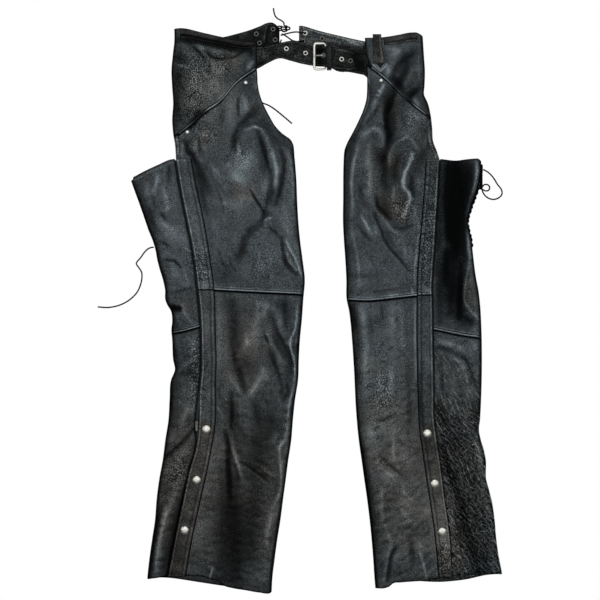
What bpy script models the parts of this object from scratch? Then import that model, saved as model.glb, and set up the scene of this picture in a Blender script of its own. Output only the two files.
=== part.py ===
"""Leather riding chaps, laid flat on a surface with their front up.

Frame: +X to the wearer's left, +Y towards the waist, +Z up off the surface. The origin is on the
surface under the middle of the garment. Tables and sizes are in millimetres; meshes are in metres.

Each leg is a flattened tube. Its lower layer lies on the surface, its edges are half-round folds, and
its upper layer is LOFT above. Every leather panel is a grid of its middle surface with a Solidify wall.
"""

import math

import bmesh
import bpy
import numpy as np

MM = 0.001

# Leather and lay
WALL = 1.5            # garment leather
BELT_WALL = 2.6       # doubled belt leather
GAP = 0.3             # between pieces that are sewn or lie together
SEAM = 0.25           # half the gap in a seam between two panels
FOLD_SEAM = 0.22      # the same where two curled edges meet at mid height
REST = WALL / 2       # middle of the layer that lies on the surface
LOFT = 9.6            # middle of the upper layer above the surface
FOLD = 6.0            # reach of a folded edge
FOLD_MIDDLE = (REST + LOFT) / 2
OVER = WALL + GAP     # from a panel's middle to that of a strip sewn on it

# Zip, snaps, rivets, eyelets and laces
ZIP_END = -210.0      # level of the zip's lower end
TAPE = (10.0, 0.6)    # half width and thickness of the zip's tape
CHAIN = (2.1, 0.7)    # half width of the zip's teeth and their height above the tape
SNAP = (7.5, 3.0)     # radius and height of a snap's cap
RIVET = (3.7, 1.8)
EYELET = (3.5, 1.1)   # radius of the ring's middle, radius of its wire
EYELET_HOLE = 2.3
LACE = 1.4            # radius of a lace

COLLECTION = "leather_chaps"
CENTRE = (0.17, -0.20)  # middle of the garment in the tables' own coordinates


def table(columns, *rows):
    """Named columns of a table written as rows."""
    return dict(zip(columns.split(), np.array(rows, dtype=float).T))


# Edges of each leg. hip: the yoke down to the zip's top. leg: below it, where the back wraps forward.
# edge: the free or folded inner edge, its height above the surface and the reach of its curl.
RIGHT = {
    "side": -1,
    "hip": table(
        "level outer",
        (520, -264.6), (494, -264.4), (469, -267.1), (440, -269.7), (410, -268.6),
        (380, -266.6), (345, -268.3), (321, -266.4), (302, -263.3), (275, -261.4)),
    "hip_edge": table("level x", (520, -111.0), (490, -111.0), (430, -111.0)),
    "crotch": table(
        "level x",
        (442, -111.0), (417, -109.2), (400, -106.9), (380, -101.0), (365, -93.6), (350, -87.0),
        (335, -77.0), (321, -62.7), (313, -51.2), (306, -44.6), (291, -42.2), (275, -41.5)),
    "leg": table(
        "level outer placket_out placket_in inner",
        (275, -358.0, -260.0, -232.5, -41.5),
        (234, -344.4, -253.5, -224.8, -38.1),
        (162, -318.8, -239.5, -209.5, -34.6),
        (88, -296.0, -225.5, -197.0, -26.5),
        (51, -285.5, -221.3, -191.9, -22.4),
        (20, -281.8, -217.8, -188.9, -24.5),
        (-12, -270.5, -215.0, -188.3, -27.0),
        (-51, -269.5, -213.0, -187.5, -30.8),
        (-97, -266.6, -212.4, -186.0, -33.5),
        (-116, -263.4, -212.8, -186.2, -34.2),
        (-134, -270.3, -214.0, -187.0, -34.8),
        (-208, -275.3, -217.6, -187.3, -44.4),
        (-282, -285.8, -229.8, -198.8, -52.9),
        (-356, -297.3, -247.5, -215.0, -62.7),
        (-430, -305.6, -262.0, -231.0, -73.4),
        (-503, -314.6, -276.0, -243.5, -82.7),
        (-530, -316.0, -280.5, -248.0, -84.0)),
    # the edges of the back and front panels beside the zip, out from the placket's outer edge
    "slit": table(
        "level back front zip",
        (275, 3.0, -5.4, -1.2), (-150, 3.0, -5.4, -1.2), (-198, 7.4, -0.4, 4.1), (-236, 7.4, -0.4, 4.1),
        (-252, -2.2, -3.3, -2.7), (-530, -2.2, -3.3, -2.7)),
    # the slanted pocket seam
    "pocket": table(
        "x level",
        (-270.0, 309.5), (-255.9, 321.0), (-231.3, 340.4), (-202.8, 365.2), (-179.8, 381.1),
        (-149.9, 414.8), (-112.5, 442.2), (-105.0, 447.7)),
    # seams as level against the fraction across, from the outer edge or zip to the inner edge
    "waist": table(
        "across level",
        (0.0, 515.6), (0.09, 516.9), (0.36, 508.6), (0.57, 501.0), (0.75, 495.2), (1.0, 491.0)),
    "knee": table("across level", (0.0, 32.6), (0.5, 27.5), (1.0, 23.0)),
    "hem_front": table(
        "across level",
        (0.0, -498.0), (0.22, -497.0), (0.33, -499.0), (0.39, -504.0), (0.47, -507.0),
        (0.53, -515.0), (0.62, -520.0), (0.75, -524.0), (0.87, -528.0), (1.0, -529.0)),
    # the same across the back, from the inner edge under the leg and round the fold to the zip
    "back_top": table(
        "across level",
        (0.0, 286.0), (0.3, 258.0), (0.66, 240.0), (0.88, 235.0), (0.93, 258.0), (1.0, 275.0)),
    "back_seam": table(
        "across level", (0.0, -42.0), (0.4, -50.0), (0.8, -50.0), (0.9, -47.0), (1.0, -36.5)),
    "hem_back": table(
        "across level",
        (0.0, -526.0), (0.25, -519.0), (0.42, -510.0), (0.55, -503.0), (0.88, -502.3), (1.0, -498.0)),
    # the band behind the yoke, from the outer fold to its end at the lacing
    "band_end": -69.4,
    "band_top": table(
        "across level",
        (0.0, 511.0), (0.3, 500.0), (0.45, 501.2), (0.59, 507.6), (0.73, 515.6), (0.82, 522.6),
        (0.89, 528.5), (0.94, 528.4), (0.98, 522.5), (1.0, 517.5)),
    "band_bottom": table(
        "across level",
        (0.0, 277.5), (0.1, 300.0), (0.25, 350.0), (0.5, 418.0), (0.75, 452.0), (1.0, 476.0)),
    "waistband": table(
        "across depth", (0.03, 18.0), (0.36, 15.2), (0.7, 13.2), (0.88, 13.0), (0.985, 7.5)),
    "inner_edge": table(
        "level height curl",
        (530, 9.5, 6.0), (425, 9.5, 6.0), (385, 5.6, 34.0), (330, 5.0, 34.0), (296, FOLD_MIDDLE, 14.0),
        (280, FOLD_MIDDLE, FOLD), (-530, FOLD_MIDDLE, FOLD)),
    # the largest creases: each runs from one point to another; rise is negative in a trough
    "creases": table(
        "x0 y0 x1 y1 width rise",
        (-147, 384, -147, 352, 9, -1.3),
        (-63, 289, -68, 219, 11, -1.9),
        (-161, 275, -160, 250, 14, 1.5),
        (-78, 278, -82, 235, 10, 1.8),
        (-205, 267, -163, 210, 11, -1.4),
        (-100, 164, -142, 119, 16, -2.0),
        (-142, 119, -152, 92, 16, -1.6),
        (-66, 119, -52, 65, 11, -1.9),
        (-157, -5, -155, -245, 15, -2.1),
        (-105, 5, -130, -68, 13, 1.8),
        (-91, -49, -66, -108, 13, 1.6),
        (-165, -278, -173, -312, 11, -1.6),
        (-152, -279, -133, -310, 12, 1.6)),
}

LEFT = {
    "side": 1,
    "hip": table(
        "level outer",
        (520, 195.0), (494, 196.6), (469, 198.2), (435, 200.2), (410, 199.4), (394, 198.6),
        (380, 204.9), (358, 210.5), (332, 213.7), (306, 215.9), (291, 221.8), (275, 227.0)),
    "hip_edge": table("level x", (520, 88.0), (490, 88.3), (475, 89.4), (460, 93.5), (449, 97.0), (430, 99.0)),
    "crotch": table(
        "level x",
        (455, 91.6), (437, 91.6), (417, 92.3), (400, 92.3), (387, 91.4), (365, 85.3), (343, 75.7),
        (321, 64.6), (306, 56.6), (291, 50.9), (275, 49.4)),
    "leg": table(
        "level outer placket_out placket_in inner",
        (275, 304.0, 226.3, 201.5, 49.4),
        (254, 305.0, 224.5, 200.3, 48.8),
        (217, 298.0, 222.1, 198.0, 48.6),
        (180, 285.0, 219.9, 195.0, 48.3),
        (162, 280.0, 218.8, 193.5, 48.1),
        (125, 286.0, 217.0, 190.5, 49.8),
        (51, 295.6, 212.3, 185.0, 54.4),
        (14, 301.6, 212.2, 184.8, 55.1),
        (-42, 305.0, 213.4, 184.4, 63.3),
        (-116, 305.6, 214.4, 185.5, 68.6),
        (-190, 303.5, 215.5, 187.5, 72.3),
        (-227, 300.4, 218.0, 189.5, 75.8),
        (-264, 309.3, 223.5, 194.5, 80.0),
        (-319, 313.8, 231.3, 202.6, 87.7),
        (-356, 323.6, 236.0, 208.3, 92.9),
        (-430, 332.6, 245.3, 218.5, 101.2),
        (-489, 342.2, 249.2, 223.7, 106.0),
        (-525, 346.0, 251.5, 226.0, 108.5)),
    "slit": table(
        "level back front zip",
        (275, 2.2, -6.2, -2.0), (-236, 2.2, -6.2, -2.0), (-252, -2.2, -3.3, -2.7), (-525, -2.2, -3.3, -2.7)),
    "pocket": table(
        "x level",
        (215.0, 346.4), (208.3, 351.7), (181.9, 372.4), (156.1, 394.2), (125.1, 424.4), (97.1, 446.6),
        (85.0, 456.4)),
    "waist": table(
        "across level",
        (0.0, 501.0), (0.08, 507.9), (0.19, 508.9), (0.41, 504.9), (0.7, 500.2), (1.0, 499.0)),
    "knee": table(
        "across level", (0.0, 22.5), (0.2, 19.6), (0.5, 14.6), (0.72, 11.5), (1.0, 13.2)),
    "hem_front": table(
        "across level",
        (0.0, -499.0), (0.2, -500.6), (0.32, -504.0), (0.5, -505.8), (0.66, -507.6), (0.76, -509.3),
        (0.82, -515.5), (0.88, -518.2), (1.0, -518.7)),
    "back_top": table(
        "across level",
        (0.0, 286.0), (0.3, 268.0), (0.66, 264.0), (0.88, 268.5), (0.91, 275.0), (0.94, 273.6),
        (0.97, 272.2), (1.0, 274.6)),
    "back_seam": table(
        "across level", (0.0, -45.0), (0.4, -56.0), (0.8, -60.0), (0.9, -55.0), (1.0, -41.5)),
    "hem_back": table(
        "across level",
        (0.0, -514.0), (0.1, -507.6), (0.4, -509.3), (0.5, -505.0), (0.6, -497.0), (0.75, -495.0),
        (0.88, -491.7), (0.94, -491.7), (1.0, -498.0)),
    "band_end": -33.3,
    "band_top": table(
        "across level",
        (0.0, 497.0), (0.25, 490.0), (0.42, 490.5), (0.5, 492.9), (0.66, 501.0), (0.86, 512.0),
        (0.955, 518.5), (0.98, 519.8), (1.0, 519.0)),
    "band_bottom": table(
        "across level",
        (0.0, 277.5), (0.12, 320.0), (0.3, 385.0), (0.5, 432.0), (0.8, 464.0), (1.0, 474.0)),
    "waistband": table("across depth", (0.04, 15.5), (0.35, 15.0), (0.655, 14.0)),
    "inner_edge": table(
        "level height curl",
        (530, 9.0, 10.0), (425, 8.6, 14.0), (385, 5.6, 34.0), (330, 5.0, 34.0), (296, FOLD_MIDDLE, 14.0),
        (280, FOLD_MIDDLE, FOLD), (-530, FOLD_MIDDLE, FOLD)),
    "creases": table(
        "x0 y0 x1 y1 width rise",
        (100, 315, 98, 239, 10, 1.8),
        (98, 239, 107, 186, 10, 1.6),
        (133, 272, 150, 302, 10, 1.6),
        (150, 302, 180, 295, 10, 1.6),
        (158, 282, 172, 262, 12, -1.9),
        (181, 280, 159, 232, 10, 1.4),
        (159, 232, 154, 158, 11, 1.4),
        (98, 193, 130, 162, 9, -1.5),
        (113, 139, 176, 66, 11, 1.4),
        (112, -282, 130, -441, 13, 1.5),
        (130, -468, 130, -512, 11, 1.5)),
}

# Belt: edges and height of each strap's middle along its length
RIGHT_STRAP = table(
    "x top bottom height",
    (-136, 481.0, 440.0, 6.5), (-110, 482.3, 442.5, 6.5), (-92, 484.2, 452.3, 6.5),
    (-70, 489.0, 461.4, 6.5), (-47, 493.6, 456.4, 6.5), (-31, 492.0, 452.1, 6.3),
    (-14, 485.5, 449.0, 4.6), (-5, 484.0, 447.5, 4.2), (4, 483.0, 446.0, 8.2),
    (11, 482.5, 445.2, 12.2), (17, 482.0, 444.4, 13.1), (23, 481.5, 443.6, 12.5),
    (31, 480.5, 441.5, 9.9), (45, 478.0, 440.2, 9.2), (62, 475.0, 438.5, 9.2), (70, 470.5, 442.0, 9.2))
LEFT_STRAP = table(
    "x top bottom",
    (10, 482.4, 446.2), (17, 482.4, 445.8), (28, 482.5, 443.2), (36, 481.0, 438.8), (60, 478.0, 436.0),
    (86, 475.8, 431.0), (126, 470.0, 424.0))
STRAP_LOWER = 3.2          # height of the turned-back end of the left strap
STRAP_UPPER = 6.2          # height of the left strap itself
HEEL_BAR = (16.0, 6.6)     # place along the belt and height of the buckle's heel bar
BAR = 1.7                  # radius of the buckle's wire
STRAP_TURN = BAR + GAP + BELT_WALL / 2
BUCKLE_LEFT = (-5.0, 7.6)  # place and height of the free bar
BUCKLE_MIDDLE = 464.8      # level of the buckle's middle
BUCKLE_HALF = 23.9         # half its height
PRONG = 1.2
KEEPER = (18.2, 26.8)      # from and to along the belt

BELT_EYELETS = table("x y", (-56.6, 479.0), (-21.1, 471.0), (11.7, 465.5), (45.7, 459.0), (62.0, 456.0))
RIGHT_BAND_EYELETS = table("x y", (-112.5, 507.6), (-106.6, 490.6), (-81.6, 516.2), (-77.5, 496.5))
LEFT_BAND_EYELETS = table("x y", (-21.8, 508.8), (-25.6, 493.8), (9.8, 498.8))
RIGHT_RIVETS = table("x y", (-131.9, 415.7), (-239.9, 324.2))
LEFT_RIVETS = table("x y", (118.6, 419.8))
RIGHT_SNAPS = table("x y", (-204.4, -225.3), (-222.5, -318.8), (-244.6, -411.8))
LEFT_SNAPS = table("x y", (204.0, -232.9), (217.7, -325.6), (231.6, -414.4))
LEFT_LOOP = table("level left right", (505.8, 103.2, 118.0), (480.0, 103.9, 120.8), (451.6, 104.6, 125.2))
LOOP_TAB = table("x y", (106.0, 450.9), (127.4, 450.9), (117.0, 436.8))

# Routes of the laces: places and heights of their middles
WAIST_KNOT = (-61.5, 516.0, 6.3)
KNOT_SCALE = (3.2, 1.65, 2.9)
LACE_UP = table(
    "x y z",
    (-60.7, 522.6, 3.0), (-61.4, 528.2, 2.0), (-66.2, 532.4, 1.6),
    (-71.8, 535.2, 1.5), (-77.4, 540.9, 1.5), (-79.9, 548.9, 1.5), (-80.7, 555.4, 1.5))
LACE_DOWN = table(
    "x y z",
    (-66.0, 496.4, 5.2), (-69.0, 488.0, 3.3), (-74.0, 476.0, 3.3), (-92.0, 462.0, 3.3),
    (-110.0, 450.0, 3.3), (-119.0, 436.0, 2.4), (-124.0, 420.0, 1.5), (-121.0, 400.0, 1.5),
    (-112.0, 385.0, 1.5), (-98.6, 378.4, 1.5), (-90.7, 375.4, 1.5), (-82.5, 370.6, 1.5),
    (-66.4, 358.2, 1.5), (-56.4, 349.8, 1.5), (-46.3, 341.1, 1.5))
LACING_LONG = table(
    "x y z",
    (-67.4, 504.6, 1.6), (-62.9, 506.2, 1.6), (-53.7, 508.6, 1.8), (-45.0, 510.4, 2.6), (-38.9, 510.8, 3.4),
    (-31.5, 509.9, 4.4), (-26.0, 509.0, 5.0), (-22.4, 508.8, 4.4))
LACING_SHORT = table(
    "x y z",
    (-65.6, 507.0, 5.2), (-58.1, 503.4, 5.0), (-50.0, 497.7, 3.8), (-44.4, 494.6, 3.2), (-37.5, 493.0, 3.2),
    (-34.0, 493.2, 3.5), (-31.0, 493.8, 4.6), (-26.2, 493.8, 4.9))
RIGHT_THIGH_LACE = table(
    "x y z",
    (-303.0, 111.4, 3.6), (-306.8, 111.3, 2.0), (-312.5, 109.2, 1.5), (-317.7, 104.9, 1.5),
    (-327.3, 92.1, 1.5), (-335.2, 81.0, 1.5), (-330.0, 73.1, 1.5), (-325.2, 64.6, 1.5),
    (-324.7, 58.3, 1.5), (-327.3, 42.4, 1.5), (-333.6, 28.5, 1.5), (-344.3, 16.8, 1.5),
    (-359.1, 7.2, 1.5), (-373.9, 1.9, 1.5), (-388.9, -0.2, 1.5), (-406.8, 0.9, 1.5))
LEFT_LACE_LOOP = table(
    "x y z",
    (308.6, 255.8, 2.8), (318.8, 249.8, 1.8), (326.5, 241.8, 1.5), (335.6, 227.5, 1.5),
    (342.6, 218.0, 1.5), (343.6, 210.7, 1.5), (337.5, 203.4, 1.5), (327.8, 200.4, 1.5),
    (318.8, 202.4, 1.5), (311.0, 208.7, 1.5), (304.6, 213.6, 3.0))
LEFT_LACE_SMALL = table(
    "x y z",
    (311.5, 229.6, 5.0), (317.5, 226.6, 4.0), (320.4, 221.4, 3.4),
    (317.3, 217.4, 3.4), (311.6, 217.6, 4.0))
# the lacing down the left thigh's fold: every turn crosses the fold's outer face
THIGH_LACING = table("high low first last", (262.0, 230.4, 0.0, 2.25), (220.2, 112.0, 0.75, 7.0))
LACING_REACH = (1.6, 8.2)          # lowest and highest point of a turn


def smooth(xs, ys):
    """A cubic through the points whose slope at each is the mean slope around it, weighted to the
    nearer side, so that it never swings far past a point. Ends run on straight."""
    order = np.argsort(xs)
    xs, ys = np.asarray(xs, float)[order], np.asarray(ys, float)[order]
    step, rise = np.diff(xs), np.diff(ys) / np.diff(xs)
    inner = (rise[:-1] * step[1:] + rise[1:] * step[:-1]) / (step[1:] + step[:-1])
    slope = np.concatenate([[rise[0]], inner, [rise[-1]]])

    def at(x):
        x = np.asarray(x, float)
        i = np.clip(np.searchsorted(xs, x) - 1, 0, len(step) - 1)
        t = (np.clip(x, xs[0], xs[-1]) - xs[i]) / step[i]
        bend = (1 + 2 * t) * (1 - t) ** 2 * ys[i] + t * t * (3 - 2 * t) * ys[i + 1]
        bend += step[i] * t * (1 - t) * ((1 - t) * slope[i] - t * slope[i + 1])
        return bend + (x < xs[0]) * (x - xs[0]) * slope[0] + (x > xs[-1]) * (x - xs[-1]) * slope[-1]
    return at


def linear(xs, ys):
    """Straight lines through the points."""
    order = np.argsort(xs)
    xs, ys = np.asarray(xs, float)[order], np.asarray(ys, float)[order]
    return lambda x: np.interp(x, xs, ys)


def ease(t):
    """0 below 0, 1 above 1, and a soft step between."""
    t = np.clip(t, 0.0, 1.0)
    return t * t * (3 - 2 * t)


class Leg:
    """The curves of one leg, and the surfaces of its panels worked out from them."""

    def __init__(self, data):
        self.side = data["side"]
        self.inward = -self.side
        leg, edge, slit = data["leg"], data["inner_edge"], data["slit"]
        self.hip_outer = smooth(data["hip"]["level"], data["hip"]["outer"])
        self.hip_edge = smooth(data["hip_edge"]["level"], data["hip_edge"]["x"])
        self.crotch = smooth(data["crotch"]["level"], data["crotch"]["x"])
        self.leg_outer = smooth(leg["level"], leg["outer"])
        self.leg_inner = smooth(leg["level"], leg["inner"])
        self.placket_out = smooth(leg["level"], leg["placket_out"])
        self.placket_in = smooth(leg["level"], leg["placket_in"])
        self.zip_top = leg["level"].max()
        self.slit_back = linear(slit["level"], slit["back"])
        self.slit_front = linear(slit["level"], slit["front"])
        self.slit_zip = linear(slit["level"], slit["zip"])
        self.edge_height = linear(edge["level"], edge["height"])
        self.edge_curl = linear(edge["level"], edge["curl"])
        self.creases = data["creases"]
        self.band_end = data["band_end"]
        self.waistband = data["waistband"]
        self.pocket = smooth(data["pocket"]["x"], data["pocket"]["level"])
        names = "waist knee hem_front back_top back_seam hem_back band_top band_bottom"
        self.seam = {name: smooth(data[name]["across"], data[name]["level"]) for name in names.split()}

    def outer(self, y):
        return np.where(y > self.zip_top, self.hip_outer(y), self.leg_outer(y))

    def inner(self, y):
        return np.where(y > self.zip_top, self.crotch(y), self.leg_inner(y))

    def back_edge(self, y):
        """The back panel's edge beside the zip."""
        return self.placket_out(y) + self.side * self.slit_back(y)

    def front_edge(self, y):
        """The front panel's edge beside the zip; above it, the seam with the hip's back."""
        below = self.placket_out(y) + self.side * self.slit_front(y)
        return np.where(y > self.zip_top, self.hip_outer(y) + self.inward * (FOLD + 2.6), below)

    def zip_middle(self, y):
        return self.placket_out(y) + self.side * self.slit_zip(y)

    def pocket_level(self, surface, across):
        """Level of the pocket seam at each fraction across a panel that it bounds."""
        y = np.full(np.shape(across), 390.0)
        for _ in range(12):
            y = (y + self.pocket(surface(across, y)[0])) / 2
        return y

    def crease(self, x, y):
        """The sum of the creases: each is a rounded groove or ridge about a straight line."""
        total = np.zeros(np.broadcast(x, y).shape)
        c = self.creases
        for x0, y0, x1, y1, width, rise in zip(c["x0"], c["y0"], c["x1"], c["y1"], c["width"], c["rise"]):
            run_x, run_y = x1 - x0, y1 - y0
            t = np.clip(((x - x0) * run_x + (y - y0) * run_y) / (run_x ** 2 + run_y ** 2), 0, 1)
            away = np.hypot(x - x0 - t * run_x, y - y0 - t * run_y)
            total = total + rise * np.exp(-(away / width) ** 2)
        return total

    def height(self, x, y, edge=None):
        """Middle of the upper layer: LOFT and its creases, turned down along an ellipse at each edge."""
        inner = self.inner(y) if edge is None else edge(y)
        from_inner = np.maximum(np.abs(inner - x) - WALL / 2, 0)
        from_outer = np.maximum(np.abs(x - self.outer(y)) - WALL / 2, 0)
        from_zip = np.abs(x - self.placket_out(np.minimum(y, self.zip_top)))
        fade = ease(from_inner / 22) * ease(from_outer / 22) * ease((from_zip - 29) / 18)
        z = LOFT + fade * self.crease(x, y)
        z = turned(from_inner, self.edge_curl(y), self.edge_height(y), z)
        return turned(from_outer, FOLD, FOLD_MIDDLE, z)

    def front(self, across, y, edge=None):
        """The front panels: flat from the zip side to the shoulder, then down the inner edge's curl."""
        inner = self.inner(y) if edge is None else edge(y)
        curl = self.edge_curl(y)
        start = self.front_edge(y)
        shoulder = inner + self.side * (WALL / 2 + curl)
        turn = np.clip((1 - across) / CURL_PART, 0, 1) * math.pi / 2
        flat = start + (shoulder - start) * np.minimum(across / (1 - CURL_PART), 1)
        x = np.where(across < 1 - CURL_PART, flat, inner + self.side * (WALL / 2 + curl * (1 - np.cos(turn))))
        z = self.height(x, y, edge)
        return x, np.where(across >= 1, z + FOLD_SEAM, z)

    def yoke(self, across, y):
        """The hip's front: as the front, with a curl at the outer edge too."""
        outer = self.hip_outer(y)
        turn = np.clip(across / CURL_PART, 0, 1) * math.pi / 2
        curled = outer + self.inward * (WALL / 2 + FOLD * (1 - np.cos(turn)))
        shoulder = outer + self.inward * (WALL / 2 + FOLD)
        inner = self.hip_edge(y) + self.side * WALL / 2
        flat = shoulder + (inner - shoulder) * np.clip((across - CURL_PART) / (1 - CURL_PART), 0, 1)
        x = np.where(across < CURL_PART, curled, flat)
        z = self.height(x, y, self.hip_edge)
        return x, np.where(across <= 0, z + FOLD_SEAM, z)

    def back(self, across, y):
        """The back panels: inner curl, along the surface, round the outer fold, and back to the zip."""
        inner, outer, curl = self.inner(y), self.outer(y), FOLD
        in_seam, shoulder_in, shoulder_out, top = BACK_PARTS
        turn = np.clip((across - in_seam) / (shoulder_in - in_seam), 0, 1) * math.pi / 2
        rise = FOLD_MIDDLE - REST
        x = inner + self.side * (WALL / 2 + curl * (1 - np.cos(turn)))
        z = FOLD_MIDDLE - FOLD_SEAM * (turn <= 0) - rise * np.sin(turn)
        run = np.clip((across - shoulder_in) / (shoulder_out - shoulder_in), 0, 1)
        start = inner + self.side * (WALL / 2 + curl)
        end = outer + self.inward * (WALL / 2 + FOLD)
        lying = (across > shoulder_in) & (across <= shoulder_out)
        x = np.where(lying, start + (end - start) * run, x)
        z = np.where(lying, REST, z)
        turn = np.clip((across - shoulder_out) / (top - shoulder_out), 0, 1) * math.pi
        folding = (across > shoulder_out) & (across <= top)
        x = np.where(folding, end + self.side * FOLD * np.sin(turn), x)
        z = np.where(folding, FOLD_MIDDLE - rise * np.cos(turn), z)
        run = np.clip((across - top) / (1 - top), 0, 1)
        upper = across > top
        x = np.where(upper, end + (self.back_edge(y) - end) * run, x)
        z = np.where(upper, self.height(x, y), z)
        return x, z

    def band(self, across, y):
        """The hip's back: from a negative fraction on top of the fold, down round it at 0, and along
        the surface to the end of the band."""
        outer = self.hip_outer(y)
        turn = np.clip(across / BAND_CURL, -1, 1) * math.pi / 2
        curled = outer + self.inward * (WALL / 2 + FOLD * (1 - np.cos(turn)))
        start = outer + self.inward * (WALL / 2 + FOLD)
        run = np.clip((across - BAND_CURL) / (1 - BAND_CURL), 0, 1)
        x = np.where(across > BAND_CURL, start + (self.band_end - start) * run, curled)
        x = np.where(across < -BAND_CURL, outer + self.inward * (FOLD + 1.7), x)
        z = FOLD_MIDDLE - FOLD_SEAM * (across == 0) - (FOLD_MIDDLE - REST) * np.sin(turn)
        return x, z


CURL_PART = 0.06                          # fraction of a front panel that its curl takes
BACK_PARTS = (0.0, 0.06, 0.66, 0.88)      # where the back's inner curl, floor run and fold end
BAND_CURL = 0.05
CURL_STEPS = np.array([0.0, 0.12, 0.55])  # a quarter fold's rows, close to its free edge first


def turned(distance, reach, edge, full):
    """A height that falls from full at reach to edge at no distance, along a quarter ellipse."""
    part = np.clip(distance / reach, 0, 1)
    return edge + (full - edge) * np.sqrt(np.maximum(1 - (1 - part) ** 2, 0))


def with_zip_end(rows, high, low):
    """Even fractions down a panel, and two more where the zip's slit closes."""
    ends = (float(high) - np.array([-236.0, -252.0])) / (float(high) - float(low))
    return np.sort(np.concatenate([np.linspace(0, 1, rows), ends]))


def levels(low, high, along):
    """Levels between two seams, a fraction along from high to low."""
    return high + (low - high) * along


# ---------------------------------------------------------------- meshes, objects, materials

def material(name, color, roughness, metallic=0.0):
    made = bpy.data.materials.new(name)
    made.use_nodes = True
    shader = made.node_tree.nodes["Principled BSDF"]
    shader.inputs["Base Color"].default_value = (*color, 1.0)
    shader.inputs["Roughness"].default_value = roughness
    shader.inputs["Metallic"].default_value = metallic
    return made


def add_object(name, mesh, finish, collection):
    body = bpy.data.objects.new(name, mesh)
    body.data.materials.append(finish)
    collection.objects.link(body)
    return body


def grid_mesh(name, points, keep=None):
    """A mesh of quads over a grid of points (rows, columns, 3) in millimetres. keep(row, column)
    says which cells are there."""
    rows, columns = points.shape[:2]
    bm = bmesh.new()
    verts = [bm.verts.new(p) for p in (points.reshape(-1, 3) * MM).tolist()]
    for i in range(rows - 1):
        for j in range(columns - 1):
            if keep is None or keep(i, j):
                corners = (i * columns + j, i * columns + j + 1, (i + 1) * columns + j + 1, (i + 1) * columns + j)
                bm.faces.new([verts[k] for k in corners])
    bmesh.ops.delete(bm, geom=[v for v in bm.verts if not v.link_faces], context="VERTS")
    bmesh.ops.recalc_face_normals(bm, faces=bm.faces)
    mesh = bpy.data.meshes.new(name)
    bm.to_mesh(mesh)
    bm.free()
    mesh.shade_smooth()
    return mesh


def leather(name, points, finish, collection, wall=WALL, keep=None):
    """A leather piece: its middle surface with half the wall on each side."""
    body = add_object(name, grid_mesh(name, points, keep), finish, collection)
    solid = body.modifiers.new("wall", "SOLIDIFY")
    solid.thickness = wall * MM
    solid.offset = 0.0
    solid.use_even_offset = True
    solid.use_quality_normals = True
    return body


def panel(surface, top, bottom, across, along):
    """Points of a panel: surface(across, level) between the seams top and bottom."""
    across, along = np.meshgrid(across, along)
    at = np.maximum(across, 0)
    y = levels(bottom(at) + SEAM, top(at) - SEAM, along)
    x, z = surface(across, y)
    return np.stack([x, y, z], axis=-1)


def wire(name, course, radius, finish, collection, cyclic=False, sides=2):
    curve = bpy.data.curves.new(name, "CURVE")
    curve.dimensions = "3D"
    curve.bevel_depth = radius * MM
    curve.bevel_resolution = sides
    curve.use_fill_caps = not cyclic
    spline = curve.splines.new("POLY")
    spline.points.add(len(course) - 1)
    for point, place in zip(spline.points, course):
        point.co = (*(np.asarray(place) * MM), 1.0)
    spline.use_cyclic_u = cyclic
    return add_object(name, curve, finish, collection)


def dome(name, x, y, z, size, finish, collection, segments=16):
    """A low round cap: a flat base, an upright rim and a crowned top, as a turned profile."""
    radius, high = size
    profile = [(0.0, high), (0.55, 0.92 * high), (0.85, 0.66 * high), (1.0, 0.3 * high), (1.0, 0.0), (0.0, 0.0)]
    bm = bmesh.new()
    verts = [bm.verts.new((r * (radius if k else 0) * MM, 0.0, h * MM)) for k, (r, h) in enumerate(profile)]
    for a, b in zip(verts[:-1], verts[1:]):
        bm.edges.new((a, b))
    mesh = bpy.data.meshes.new(name)
    bm.to_mesh(mesh)
    bm.free()
    body = add_object(name, mesh, finish, collection)
    body.location = (x * MM, y * MM, z * MM)
    turn = body.modifiers.new("turn", "SCREW")
    turn.steps = turn.render_steps = segments
    turn.use_merge_vertices = True
    turn.merge_threshold = 0.00005
    return body


def ring(name, x, y, z, finish, collection):
    """An eyelet: a flat round ring."""
    major, minor = EYELET
    bpy.ops.mesh.primitive_torus_add(
        major_radius=major * MM, minor_radius=minor * MM, major_segments=14, minor_segments=6,
        location=(x * MM, y * MM, (z + minor * 0.6) * MM))
    body = bpy.context.object
    body.name = body.data.name = name
    body.scale.z = 0.6
    for owner in list(body.users_collection):
        owner.objects.unlink(body)
    collection.objects.link(body)
    body.data.materials.append(finish)
    body.data.shade_smooth()
    return body


def drill(body, places, radius, cutters, reach=16.0):
    """Round holes through a piece, one for each place."""
    for k, (x, y) in enumerate(zip(places["x"], places["y"])):
        bpy.ops.mesh.primitive_cylinder_add(
            vertices=10, radius=radius * MM, depth=2 * reach * MM, location=(x * MM, y * MM, 0.0))
        cutter = bpy.context.object
        for owner in list(cutter.users_collection):
            owner.objects.unlink(cutter)
        cutters.objects.link(cutter)
        cutter.name = f"{body.name}_cutter_{k + 1}"
        cutter.hide_render = True
        cutter.display_type = "WIRE"
        hole = body.modifiers.new(f"hole_{k + 1}", "BOOLEAN")
        hole.operation = "DIFFERENCE"
        hole.solver = "EXACT"
        hole.object = cutter


# ---------------------------------------------------------------- pieces

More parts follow.
